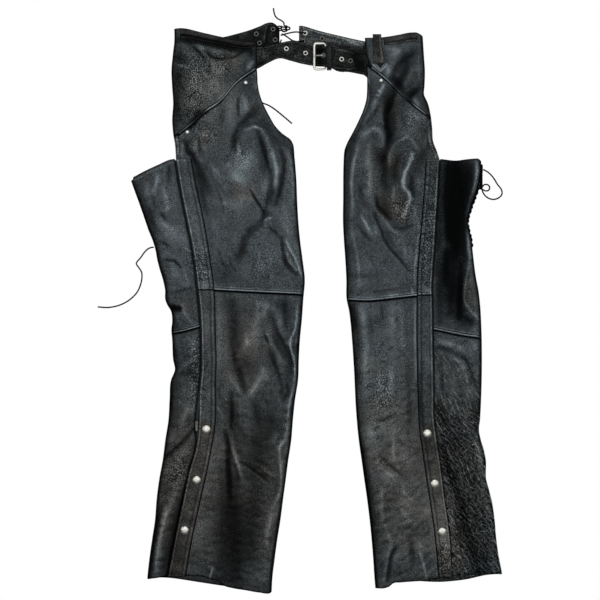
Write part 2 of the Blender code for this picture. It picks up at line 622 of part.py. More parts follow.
def make_leg(leg, name, look, parts):
    """The leather panels and strips of one leg."""
    seam = leg.seam
    front_across = np.concatenate([np.linspace(0, 1 - CURL_PART, 9), 1 - CURL_PART * CURL_STEPS[::-1]])
    pocket = lambda across: leg.pocket_level(leg.front, across) - SEAM
    leather(f"{name}_thigh_front",
            panel(leg.front, pocket, seam["knee"], front_across, np.linspace(0, 1, 14)), look["front"], parts)
    leather(f"{name}_shin_front",
            panel(leg.front, seam["knee"], seam["hem_front"], front_across,
                  with_zip_end(15, seam["knee"](0.0), seam["hem_front"](0.0))),
            look["front"], parts)

    pocket = lambda across: leg.pocket_level(leg.yoke, across) + SEAM
    yoke_across = np.concatenate([CURL_PART * CURL_STEPS, np.linspace(CURL_PART, 1, 8)])
    leather(f"{name}_hip_front",
            panel(leg.yoke, seam["waist"], pocket, yoke_across, np.linspace(0, 1, 8)), look["yoke"], parts)

    in_seam, shoulder_in, shoulder_out, top = BACK_PARTS
    back_across = np.concatenate([
        shoulder_in * CURL_STEPS, np.linspace(shoulder_in, shoulder_out, 5),
        np.linspace(shoulder_out, top, 7)[1:], np.linspace(top, 1, 4)[1:]])
    leather(f"{name}_thigh_back",
            panel(leg.back, seam["back_top"], seam["back_seam"], back_across, np.linspace(0, 1, 13)),
            look["back"], parts)
    leather(f"{name}_shin_back",
            panel(leg.back, seam["back_seam"], seam["hem_back"], back_across,
                  with_zip_end(14, seam["back_seam"](1.0), seam["hem_back"](1.0))),
            look["back"], parts)


def make_band(leg, name, look, parts, cutters, eyelets):
    """The hip's back. Below the yoke's lower corner it goes on round the fold to the front."""
    seam = leg.seam
    corner = float(leg.pocket_level(leg.yoke, np.zeros(1))[0]) - SEAM * 2
    high, low = float(seam["band_top"](0.0)) - SEAM, float(seam["band_bottom"](0.0)) + SEAM
    at_corner = (high - corner) / (high - low)
    along = np.concatenate([np.linspace(0, at_corner, 7), np.linspace(at_corner, 1, 4)[1:]])
    across = np.concatenate([
        [-BAND_CURL - 0.01], BAND_CURL * np.array([-1, -0.55, -0.12, 0, 0.12, 0.55, 1]),
        np.linspace(BAND_CURL, 1, 10)[1:]])
    wrap_columns = 4
    wrap_row = 6
    points = panel(leg.band, seam["band_top"], seam["band_bottom"], across, along)
    body = leather(f"{name}_hip_back", points, look["back"], parts,
                   keep=lambda row, column: column >= wrap_columns or row >= wrap_row)
    drill(body, eyelets, EYELET_HOLE, cutters)
    for k, (x, y) in enumerate(zip(eyelets["x"], eyelets["y"])):
        ring(f"{name}_band_eyelet_{k + 1}", x, y, WALL + GAP, look["metal"], parts)


def make_strips(leg, name, look, parts):
    """The placket's two lengths, the waistband and the pocket's welt, raised off the panels."""
    knee = float(leg.seam["knee"](0.0))
    ends = {"upper": (leg.zip_top - GAP, knee + SEAM, 10), "lower": (knee - SEAM, -498.0, 16)}
    for part, (high, low, rows) in ends.items():
        side, y = np.meshgrid(np.linspace(0, 1, 3), np.linspace(high, low, rows))
        x = leg.placket_out(y) + (leg.placket_in(y) - leg.placket_out(y)) * side
        points = np.stack([x, y, leg.height(x, y) + OVER], axis=-1)
        leather(f"{name}_placket_{part}", points, look["strip"], parts)

    band = leg.waistband
    across, down = np.meshgrid(np.linspace(band["across"].min(), band["across"].max(), 9), np.linspace(0, 1, 3))
    across = CURL_PART + (1 - CURL_PART) * across
    y = leg.seam["waist"](across) - 1.0 - smooth(band["across"], band["depth"])(across) * down
    x, z = leg.yoke(across, y)
    leather(f"{name}_waistband", np.stack([x, y, z + OVER], axis=-1), look["strip"], parts)

    ends = leg.hip_outer(330.0) + leg.inward * 12.0, leg.hip_edge(442.0) + leg.side * 3.0
    x, across = np.meshgrid(np.linspace(*ends, 14), np.array([-1.0, 1.0]))
    y = leg.pocket(x) + WELT_HALF * across
    z = leg.height(x, y, leg.hip_edge) + OVER + 0.2
    leather(f"{name}_pocket_welt", np.stack([x, y, z], axis=-1), look["strip"], parts)


WELT_HALF = 2.1      # half the welt's width, measured along the leg


def make_zip(leg, name, look, parts):
    """Tape and teeth as one ribbon under the slit, along a T-shaped section."""
    half, thick = TAPE
    tooth, high = CHAIN
    under = WALL / 2 + GAP
    section = [(-half, -under - thick), (half, -under - thick), (half, -under), (tooth, -under),
               (tooth, high - under), (-tooth, high - under), (-tooth, -under), (-half, -under)]
    stations = np.linspace(leg.zip_top - 2, ZIP_END, 15)
    middle = leg.zip_middle(stations)
    bm = bmesh.new()
    rings = []
    for x, y in zip(middle, stations):
        rings.append([bm.verts.new(((x + dx) * MM, y * MM, (LOFT + dz) * MM)) for dx, dz in section])
    for a, b in zip(rings[:-1], rings[1:]):
        for k in range(len(section)):
            n = (k + 1) % len(section)
            bm.faces.new((a[k], a[n], b[n], b[k]))
    bm.faces.new(rings[0])
    bm.faces.new(rings[-1])
    bmesh.ops.recalc_face_normals(bm, faces=bm.faces)
    mesh = bpy.data.meshes.new(f"{name}_zip")
    bm.to_mesh(mesh)
    bm.free()
    add_object(f"{name}_zip", mesh, look["metal"], parts)


def box_mesh(name, size, center, bevel):
    bm = bmesh.new()
    bmesh.ops.create_cube(bm, size=1.0)
    for vert in bm.verts:
        for k in range(3):
            vert.co[k] = (vert.co[k] * size[k] + center[k]) * MM
    bmesh.ops.bevel(bm, geom=bm.edges[:], offset=bevel * MM, segments=1, affect="EDGES")
    mesh = bpy.data.meshes.new(name)
    bm.to_mesh(mesh)
    bm.free()
    return mesh


def plate_outline(curve, corners):
    spline = curve.splines.new("POLY")
    spline.points.add(len(corners) - 1)
    for point, (x, y) in zip(spline.points, corners):
        point.co = (x * MM, y * MM, 0.0, 1.0)
    spline.use_cyclic_u = True


SLIDER = (5.0, 11.0, 2.0)      # the slider's width, length and thickness
BAIL = (0.42, 3.0, 1.45)       # the bail's wire radius, half length and inner height
PULL = (3.4, 12.5, 0.9)        # the pull tab's width, its length from the axis, its thickness
PULL_HOLE = (1.7, 3.9)         # width and far end of the slot that the bail runs through
PULL_BAR = 0.45                # half the bar under the bail
PULL_TILT = 1.5                # degrees that the tab slopes down at rest


def make_sliders(right, left, look, parts, cutters):
    """The right slider lies open beside the placket with its pull; the left one is under it."""
    width, length, thick = SLIDER
    y = ZIP_END - GAP - length / 2
    x = float(right.zip_middle(y))
    base = LOFT - WALL / 2
    top = base + thick
    slider = add_object("right_zip_slider", box_mesh("right_zip_slider", SLIDER, (0, 0, thick / 2), 0.5),
                        look["metal"], parts)
    slider.location = (x * MM, y * MM, base * MM)
    radius, half, inside = BAIL
    arch = [(0.0, half * math.cos(a), thick - 0.4 + (inside + radius + 0.4) * math.sin(a) ** 0.6)
            for a in np.linspace(0, math.pi, 9)]
    bail = wire("right_zip_bail", arch, radius, look["metal"], cutters, sides=1)
    bail.location = slider.location
    bpy.context.view_layer.update()
    solid = bpy.data.meshes.new_from_object(bail.evaluated_get(bpy.context.evaluated_depsgraph_get()))
    bm = bmesh.new()
    bm.from_mesh(solid)
    bmesh.ops.remove_doubles(bm, verts=bm.verts, dist=0.00001)
    bm.to_mesh(solid)
    bm.free()
    joined = bpy.data.objects.new("right_zip_bail_solid", solid)
    joined.matrix_world = bail.matrix_world
    joined.hide_render = True
    joined.display_type = "WIRE"
    cutters.objects.link(joined)
    bpy.data.objects.remove(bail)
    union = slider.modifiers.new("bail", "BOOLEAN")
    union.operation = "UNION"
    union.solver = "EXACT"
    union.object = joined

    hinge = bpy.data.objects.new("right_zip_pull_axis", None)
    hinge.location = (x * MM, y * MM, (top + inside / 2 + 0.02) * MM)
    parts.objects.link(hinge)
    wide, long, flat = PULL
    hole_half, hole_end = PULL_HOLE[0] / 2, PULL_HOLE[1]
    curve = bpy.data.curves.new("right_zip_pull", "CURVE")
    curve.dimensions = "2D"
    curve.fill_mode = "BOTH"
    curve.extrude = flat / 2 * MM
    half_wide = wide / 2
    plate_outline(curve, [(half_wide, PULL_BAR), (-half_wide, PULL_BAR), (-half_wide, -long + 1.2),
                          (-half_wide + 0.7, -long), (half_wide - 0.7, -long), (half_wide, -long + 1.2)])
    plate_outline(curve, [(hole_half, -PULL_BAR), (-hole_half, -PULL_BAR), (-hole_half, -hole_end),
                          (hole_half, -hole_end)])
    pull = add_object("right_zip_pull", curve, look["metal"], parts)
    pull.parent = hinge
    pull.rotation_euler.x = math.radians(PULL_TILT)

    thin = WALL - 0.1
    x = float(left.zip_middle(y))
    plain = add_object("left_zip_slider", box_mesh("left_zip_slider", (width, length, thin), (0, 0, thin / 2), 0.4),
                       look["metal"], parts)
    plain.location = (x * MM, y * MM, base * MM)


def strap_points(edges, rows):
    """A strap from its table of edges, as a grid along it and across."""
    x = np.linspace(edges["x"].min(), edges["x"].max(), rows)
    x, side = np.meshgrid(x, np.linspace(0, 1, 3), indexing="ij")
    top, bottom = smooth(edges["x"], edges["top"])(x), smooth(edges["x"], edges["bottom"])(x)
    return x, bottom + (top - bottom) * side


def make_belt(look, parts, cutters):
    """Two straps, the buckle and the keeper."""
    x, y = strap_points(RIGHT_STRAP, 34)
    z = smooth(RIGHT_STRAP["x"], RIGHT_STRAP["height"])(x)
    strap = leather("right_belt_strap", np.stack([x, y, z], axis=-1), look["belt"], parts, wall=BELT_WALL)
    drill(strap, BELT_EYELETS, 3.1, cutters)
    height = smooth(RIGHT_STRAP["x"], RIGHT_STRAP["height"])
    for k, (px, py) in enumerate(zip(BELT_EYELETS["x"], BELT_EYELETS["y"])):
        slope = math.atan(float(height(px + 3) - height(px - 3)) / 6)
        lift = BELT_WALL / 2 / math.cos(slope) + GAP
        eyelet = ring(f"belt_eyelet_{k + 1}", px, py, float(height(px)) + lift, look["metal"], parts)
        eyelet.rotation_euler.y = -slope

    # the left strap's section: turned-back end, round the heel bar, and on under the yoke
    bar_x, bar_z = HEEL_BAR
    turn = np.linspace(-math.pi / 2, -3 * math.pi / 2, 8)
    section = [(bar_x + 34, STRAP_LOWER), (bar_x + 20, STRAP_LOWER), (bar_x + 8, STRAP_LOWER)]
    section += [(bar_x + STRAP_TURN * math.cos(a), bar_z + STRAP_TURN * math.sin(a)) for a in turn]
    section += [(bar_x + 5, bar_z + STRAP_TURN - 0.8), (bar_x + 12, STRAP_UPPER + 0.4)]
    section += [(x, STRAP_UPPER) for x in np.linspace(bar_x + 18, LEFT_STRAP["x"].max(), 8)]
    course = np.array(section)
    top = smooth(LEFT_STRAP["x"], LEFT_STRAP["top"])(course[:, 0])
    bottom = smooth(LEFT_STRAP["x"], LEFT_STRAP["bottom"])(course[:, 0])
    side = np.linspace(0, 1, 3)
    points = np.stack([
        np.repeat(course[:, :1], 3, axis=1), bottom[:, None] + (top - bottom)[:, None] * side,
        np.repeat(course[:, 1:], 3, axis=1)], axis=-1)
    strap = leather("left_belt_strap", points, look["belt"], parts, wall=BELT_WALL)
    bpy.ops.mesh.primitive_cube_add(size=1.0, location=((bar_x - 1.0) * MM, 465.2 * MM, (bar_z + 4.0) * MM))
    slot = bpy.context.object
    slot.name = "prong_slot"
    slot.scale = (12 * MM, 6 * MM, 9 * MM)
    for owner in list(slot.users_collection):
        owner.objects.unlink(slot)
    cutters.objects.link(slot)
    slot.hide_render = True
    slot.display_type = "WIRE"
    cut = strap.modifiers.new("prong_slot", "BOOLEAN")
    cut.operation = "DIFFERENCE"
    cut.solver = "EXACT"
    cut.object = slot

    left_x, left_z = BUCKLE_LEFT
    corner = 4.5
    course = []
    for cx, sx in ((bar_x, 1), (left_x, -1)):
        for sy in ((-1, 1) if sx > 0 else (1, -1)):
            centre = (cx - sx * corner, BUCKLE_MIDDLE + sy * (BUCKLE_HALF - corner))
            first = math.atan2(sy, sx) - math.pi / 4
            for a in first + np.linspace(0, math.pi / 2, 4):
                px, py = centre[0] + corner * math.cos(a), centre[1] + corner * math.sin(a)
                pz = left_z + (bar_z - left_z) * (px - left_x) / (bar_x - left_x)
                course.append((px, py, pz))
    wire("buckle_frame", course, BAR, look["metal"], parts, cyclic=True)

    # the prong: round the heel bar, up through the strap's hole, and along to the free bar
    reach = BAR + GAP + PRONG + 0.1
    prong = [(bar_x + reach * math.cos(a), bar_z + reach * math.sin(a)) for a in np.radians([0, 45, 90, 130])]
    prong += [(bar_x + dx, bar_z + dz) for dx, dz in (
        (-3.5, 4.4), (-4.1, 6.0), (-4.7, 7.8), (-6.0, 9.2), (-8.2, 9.4), (-12.0, 8.0), (-16.0, 6.5))]
    prong += [(left_x + 1.0, left_z + reach + 0.2), (left_x - 1.4, left_z + reach)]
    wire("buckle_prong", [(px, BELT_EYELETS["y"][2], pz) for px, pz in prong], PRONG, look["metal"], parts)

    low, high = 440.6, 485.6
    arch_top = float(height(21.5)) + BELT_WALL / 2 + GAP + WALL / 2 + 0.3
    corners = [(low, 1.0), (low, 4.0), (low + 0.2, arch_top - 2.4), (low + 2.6, arch_top), (low + 12, arch_top + 0.2),
               (high - 12, arch_top + 0.2), (high - 2.6, arch_top), (high - 0.2, arch_top - 2.4), (high, 5.0), (high, 2.4)]
    points = np.array([[(px, py, pz) for px in np.linspace(*KEEPER, 2)] for py, pz in corners])
    leather("belt_keeper", points, look["strip"], parts)


def make_loop(leg, look, parts):
    """The belt loop on the left yoke and the V-shaped tab that holds its foot."""
    side, y = np.meshgrid(np.linspace(0, 1, 3), np.linspace(505.0, 451.6, 7))
    left = smooth(LEFT_LOOP["level"], LEFT_LOOP["left"])(y)
    right = smooth(LEFT_LOOP["level"], LEFT_LOOP["right"])(y)
    x = left + (right - left) * side
    z = LOFT + OVER + 0.9 + 0.6 * np.sin(math.pi * (y - 451.6) / 53.4)
    leather("left_belt_loop", np.stack([x, y, z], axis=-1), look["strip"], parts)

    corners = np.stack([LOOP_TAB["x"], LOOP_TAB["y"]], axis=-1)
    side, down = np.meshgrid(np.linspace(0, 1, 3), np.linspace(0, 0.86, 3))
    head = corners[0] + (corners[1] - corners[0]) * side[..., None]
    flat = head + (corners[2] - head) * down[..., None]
    z = leg.height(flat[..., 0], flat[..., 1], leg.hip_edge) + OVER
    leather("left_loop_tab", np.concatenate([flat, z[..., None]], axis=-1), look["strip"], parts)


def make_studs(leg, name, rivets, snaps, look, parts):
    for k, (x, y) in enumerate(zip(rivets["x"], rivets["y"])):
        z = float(leg.height(x, y)) + WALL / 2 + GAP + STUD_LIFT
        dome(f"{name}_pocket_rivet_{k + 1}", x, y, z, RIVET, look["metal"], parts, segments=12)
    for k, (x, y) in enumerate(zip(snaps["x"], snaps["y"])):
        z = float(leg.height(x, y)) + OVER + WALL / 2 + GAP + STUD_LIFT
        dome(f"{name}_snap_{k + 1}", x, y, z, SNAP, look["metal"], parts)


STUD_LIFT = 0.1     # room for the panel's curve under a flat cap


def smooth_course(points, spacing=6.0):
    """Points read evenly from a smooth curve through a route's points."""
    reach = np.concatenate([[0], np.cumsum(np.linalg.norm(np.diff(points, axis=0), axis=1))])
    at = np.linspace(0, reach[-1], max(5, int(reach[-1] / spacing) + 1))
    return np.stack([smooth(reach, points[:, k])(at) for k in range(3)], axis=-1)


def route_points(route):
    return np.stack([route["x"], route["y"], route["z"]], axis=-1)


def make_laces(left, look, parts):
    """The waist lace's knot is two turns of a trefoil, which its upper free end leaves."""
    turn = np.radians(np.linspace(-126, 210, 36))
    a, b, c = KNOT_SCALE
    knot = np.array(WAIST_KNOT) + np.stack([
        a * (2 + np.cos(3 * turn)) * np.cos(2 * turn), b * (2 + np.cos(3 * turn)) * np.sin(2 * turn),
        c * np.sin(3 * turn)], axis=-1)
    free = smooth_course(np.concatenate([knot[-1:], route_points(LACE_UP)]), 4.0)
    wire("waist_lace_up", np.concatenate([knot, free[1:]]), LACE, look["lace"], parts)
    for name, route in (("waist_lace_down", LACE_DOWN),
                        ("waist_lacing_long", LACING_LONG), ("waist_lacing_short", LACING_SHORT),
                        ("right_thigh_lace", RIGHT_THIGH_LACE), ("left_thigh_lace", LEFT_LACE_LOOP)):
        wire(name, smooth_course(route_points(route)), LACE, look["lace"], parts)

    # the lacing swings over and under the fold, with one slack loop between its two runs
    runs = []
    bottom, top = LACING_REACH
    rows = np.linspace(left.seam["back_top"](0.8), left.seam["back_seam"](0.8), 13)
    fold = linear(rows, left.leg_outer(rows))
    t = THIGH_LACING
    for high, low, first, last in zip(t["high"], t["low"], t["first"], t["last"]):
        phase = np.linspace(first, last, int(round(5 * (last - first))) + 1)
        y = high + (low - high) * (phase - first) / (last - first)
        z = (bottom + top) / 2 + (top - bottom) / 2 * np.cos(2 * math.pi * phase)
        around = np.clip((z - FOLD_MIDDLE) / (FOLD_MIDDLE + LACE + GAP), -1, 1)
        x = fold(y) + LACE + GAP + 0.3 - 2.0 * (1 - np.sqrt(1 - around ** 2))
        runs.append(np.stack([x, y, z], axis=-1))
    slack = smooth_course(np.concatenate([runs[0][-1:], route_points(LEFT_LACE_SMALL), runs[1][:1]]), 3.0)
    wire("left_thigh_lacing", np.concatenate([runs[0], slack[1:-1], runs[1]]), LACE, look["lace"], parts)


def main():
    for old in list(bpy.data.objects):
        bpy.data.objects.remove(old)
    parts = bpy.data.collections.new(COLLECTION)
    cutters = bpy.data.collections.new(f"{COLLECTION}_cutters")
    for group in (parts, cutters):
        bpy.context.scene.collection.children.link(group)
    look = {
        "front": material("front_leather", (0.018, 0.020, 0.021), 0.42),
        "yoke": material("yoke_leather", (0.020, 0.020, 0.020), 0.46),
        "back": material("back_leather", (0.010, 0.010, 0.011), 0.50),
        "strip": material("strip_leather", (0.022, 0.024, 0.025), 0.44),
        "belt": material("belt_leather", (0.012, 0.012, 0.013), 0.50),
        "lace": material("lace_leather", (0.015, 0.015, 0.016), 0.55),
        "metal": material("nickel", (0.78, 0.76, 0.70), 0.22, 1.0),
    }
    right, left = Leg(RIGHT), Leg(LEFT)
    for leg, name, eyelets, rivets, snaps in (
            (right, "right", RIGHT_BAND_EYELETS, RIGHT_RIVETS, RIGHT_SNAPS),
            (left, "left", LEFT_BAND_EYELETS, LEFT_RIVETS, LEFT_SNAPS)):
        make_leg(leg, name, look, parts)
        make_band(leg, name, look, parts, cutters, eyelets)
        make_strips(leg, name, look, parts)
        make_zip(leg, name, look, parts)
        make_studs(leg, name, rivets, snaps, look, parts)
    make_sliders(right, left, look, parts, cutters)
    make_belt(look, parts, cutters)
    make_loop(left, look, parts)
    make_laces(left, look, parts)
    for body in list(parts.objects) + list(cutters.objects):
        if body.parent is None:
            body.location.x -= CENTRE[0] * MM
            body.location.y -= CENTRE[1] * MM


main()
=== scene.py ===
"""Black leather riding chaps, laid flat with their front up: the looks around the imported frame.

Frame: +X to the wearer's left, +Y towards the waist, +Z up off the surface. Tables are in millimetres in
the maker's own coordinates; place() moves them to the frame and turns them to metres. Creases are given
on a measuring grid of 1.85 mm squares whose column 317 and row 307.4 cross at the tables' origin.
"""

import math

import bmesh
import bpy
import numpy as np
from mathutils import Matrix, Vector


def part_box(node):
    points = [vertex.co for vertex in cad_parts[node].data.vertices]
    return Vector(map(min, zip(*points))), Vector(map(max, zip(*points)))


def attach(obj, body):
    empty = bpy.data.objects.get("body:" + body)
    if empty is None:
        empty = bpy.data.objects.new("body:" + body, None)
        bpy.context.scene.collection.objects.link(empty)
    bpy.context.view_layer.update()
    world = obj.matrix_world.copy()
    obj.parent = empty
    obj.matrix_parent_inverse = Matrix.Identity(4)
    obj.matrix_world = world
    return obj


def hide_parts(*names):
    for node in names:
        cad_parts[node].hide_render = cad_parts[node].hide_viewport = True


bl_info = {
    "name": "Leather Chaps",
    "version": (1, 0, 0),
    "blender": (4, 5, 0),
    "location": "View3D > Sidebar > Chaps",
    "description": "Builds the visible pieces of a pair of leather riding chaps on their frame",
    "category": "Add Mesh",
}

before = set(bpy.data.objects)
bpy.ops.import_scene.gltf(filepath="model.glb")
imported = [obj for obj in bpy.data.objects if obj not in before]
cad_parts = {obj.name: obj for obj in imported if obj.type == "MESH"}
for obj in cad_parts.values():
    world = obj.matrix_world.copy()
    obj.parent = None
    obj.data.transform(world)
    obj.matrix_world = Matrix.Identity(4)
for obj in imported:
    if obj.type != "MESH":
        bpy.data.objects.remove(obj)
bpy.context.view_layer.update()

MM = 0.001
CENTRE = (0.17, -0.20)   # middle of the garment in the tables' own coordinates
SQUARE = 1.85            # side of a square of the measuring grid
ORIGIN = (317.0, 307.4)  # the grid's column and row at the tables' origin
WALL = 1.5               # garment leather
BELT_WALL = 2.6          # doubled belt leather
GAP = 0.3                # between leathers that touch
SEAM = 0.25              # half the gap of a seam on top
FOLD_SEAM = 0.22         # and of one half way down a fold
REST = WALL / 2
LOFT = 9.6               # middle of the upper layer above the surface
FOLD = 6.0               # how far the outer folds round off
FOLD_MIDDLE = (REST + LOFT) / 2
OVER = WALL + GAP
LACE = 1.4               # radius of a lace
CURL_PART = 0.06         # share of a front that turns down its inner edge
BACK_PARTS = (0.0, 0.06, 0.66, 0.88)   # ends of a back's inner curl, of its lying part and of its outer fold
BAND_CURL = 0.05
WAVES = 22               # in a sum of plane waves
ZIP_TOP, ZIP_END = 275.0, -210.0


# ---------------------------------------------------------------- tables, curves and surfaces

def rows(text):
    """Rows of numbers, parted by commas."""
    return np.array([row.split() for row in text.split(",")], float)


def table(columns, text):
    """Named columns of a table of rows."""
    return dict(zip(columns.split(), rows(text).T))


def smooth(xs, ys):
    """A cubic through the points whose slope at each is the mean slope around it, weighted to the nearer
    side. Ends run on straight."""
    order = np.argsort(xs)
    xs, ys = np.asarray(xs, float)[order], np.asarray(ys, float)[order]
    step, rise = np.diff(xs), np.diff(ys) / np.diff(xs)
    inner = (rise[:-1] * step[1:] + rise[1:] * step[:-1]) / (step[1:] + step[:-1])
    slope = np.concatenate([[rise[0]], inner, [rise[-1]]])

    def at(x):
        x = np.asarray(x, float)
        i = np.clip(np.searchsorted(xs, x) - 1, 0, len(step) - 1)
        t = (np.clip(x, xs[0], xs[-1]) - xs[i]) / step[i]
        bend = (1 + 2 * t) * (1 - t) ** 2 * ys[i] + t * t * (3 - 2 * t) * ys[i + 1]
        bend += step[i] * t * (1 - t) * ((1 - t) * slope[i] - t * slope[i + 1])
        return bend + (x < xs[0]) * (x - xs[0]) * slope[0] + (x > xs[-1]) * (x - xs[-1]) * slope[-1]
    return at


def linear(xs, ys):
    """Straight lines through the points."""
    order = np.argsort(xs)
    return lambda x: np.interp(x, xs[order], ys[order])


def ease(t):
    """0 below 0, 1 above 1, and a soft step between."""
    t = np.clip(t, 0.0, 1.0)
    return t * t * (3 - 2 * t)


def hill(at, middle, width):
    """1 at the middle, falling to both sides as a bell curve."""
    return np.exp(-((at - middle) / width) ** 2)


def quarter(at, first=0.0, last=1.0, turns=1):
    """An angle that grows by a quarter turn, or by some, from first to last."""
    return np.clip((at - first) / (last - first), 0, 1) * math.pi / 2 * turns


def turned(distance, reach, edge, full):
    """A height that falls from full at reach to edge at no distance, along a quarter ellipse."""
    part = np.clip(distance / reach, 0, 1)
    return edge + (full - edge) * np.sqrt(np.maximum(1 - (1 - part) ** 2, 0))


def joined(*parts):
    """Coordinates put together as points."""
    return np.stack(np.broadcast_arrays(*parts), axis=-1)


def marks(text):
    """Strokes parted by semicolons, each its width in mm, its amounts, and its points on the measuring grid
    as column,row. A word names the panel that follows."""
    made = []
    for entry in text.split(";"):
        words = [word for word in entry.split() if not word.isalpha()]
        width, *amounts = [float(word) for word in words if "," not in word]
        points = np.array([word.split(",") for word in words if "," in word], float)
        made.append((width, amounts, (points - ORIGIN) * (SQUARE, -SQUARE)))
    return made


def along_line(x, y, line):
    """For each place, its distance from a line of straight runs and how far along the line it is, as a
    fraction."""
    runs = np.diff(line, axis=0)
    long = np.hypot(runs[:, 0], runs[:, 1])
    start = np.concatenate([[0], np.cumsum(long)])
    best, place_on = np.full(x.shape, 1e9), np.zeros(x.shape)
    for (x0, y0), (run_x, run_y), length, before in zip(line[:-1], runs, long, start):
        t = np.clip(((x - x0) * run_x + (y - y0) * run_y) / length ** 2, 0, 1)
        away = np.hypot(x - x0 - t * run_x, y - y0 - t * run_y)
        nearer = away < best
        best = np.where(nearer, away, best)
        place_on = np.where(nearer, before + t * length, place_on)
    return best, place_on / start[-1]


def strokes(x, y, drawn, beside=0.0):
    """The sums of the strokes, one for each amount of a stroke. A stroke is rounded across its line and dies
    out towards its ends, with a weaker swell of the other sign beside it."""
    x, y = np.broadcast_arrays(np.asarray(x, float), np.asarray(y, float))
    totals = np.zeros((len(drawn[0][1]), *x.shape))
    for width, amounts, line in drawn:
        (left, low), (right, high) = line.min(axis=0) - 4.5 * width, line.max(axis=0) + 4.5 * width
        near = (x > left) & (x < right) & (y > low) & (y < high)
        if near.any():
            away, part = along_line(x[near], y[near], line)
            taper = 0.4 + 0.6 * np.sqrt(np.clip(np.sin(math.pi * part), 0, 1))
            across = (away / width) ** 2
            shape = taper * (np.exp(-across) - beside * np.exp(-across / 4))
            totals[:, near] += np.multiply.outer(amounts, shape)
    return totals


def swells(x, y, seed, longest, shortest, depth):
    """Soft uneven swelling: a sum of plane waves in many directions, each bent by a slower one."""
    dice = np.random.RandomState(seed)
    total = np.zeros(np.broadcast(x, y).shape)
    for _ in range(WAVES):
        length = longest * (shortest / longest) ** dice.rand()
        turn, phase, slow = dice.rand(3) * 2 * math.pi
        k = 2 * math.pi / length
        bend = 0.9 * np.sin(0.31 * k * (x * math.sin(turn + 1.1) - y * math.cos(turn + 1.1)) + slow)
        total += (length / longest) * np.sin(k * (x * math.cos(turn) + y * math.sin(turn)) + phase + bend)
    return total * depth / math.sqrt(WAVES / 2)


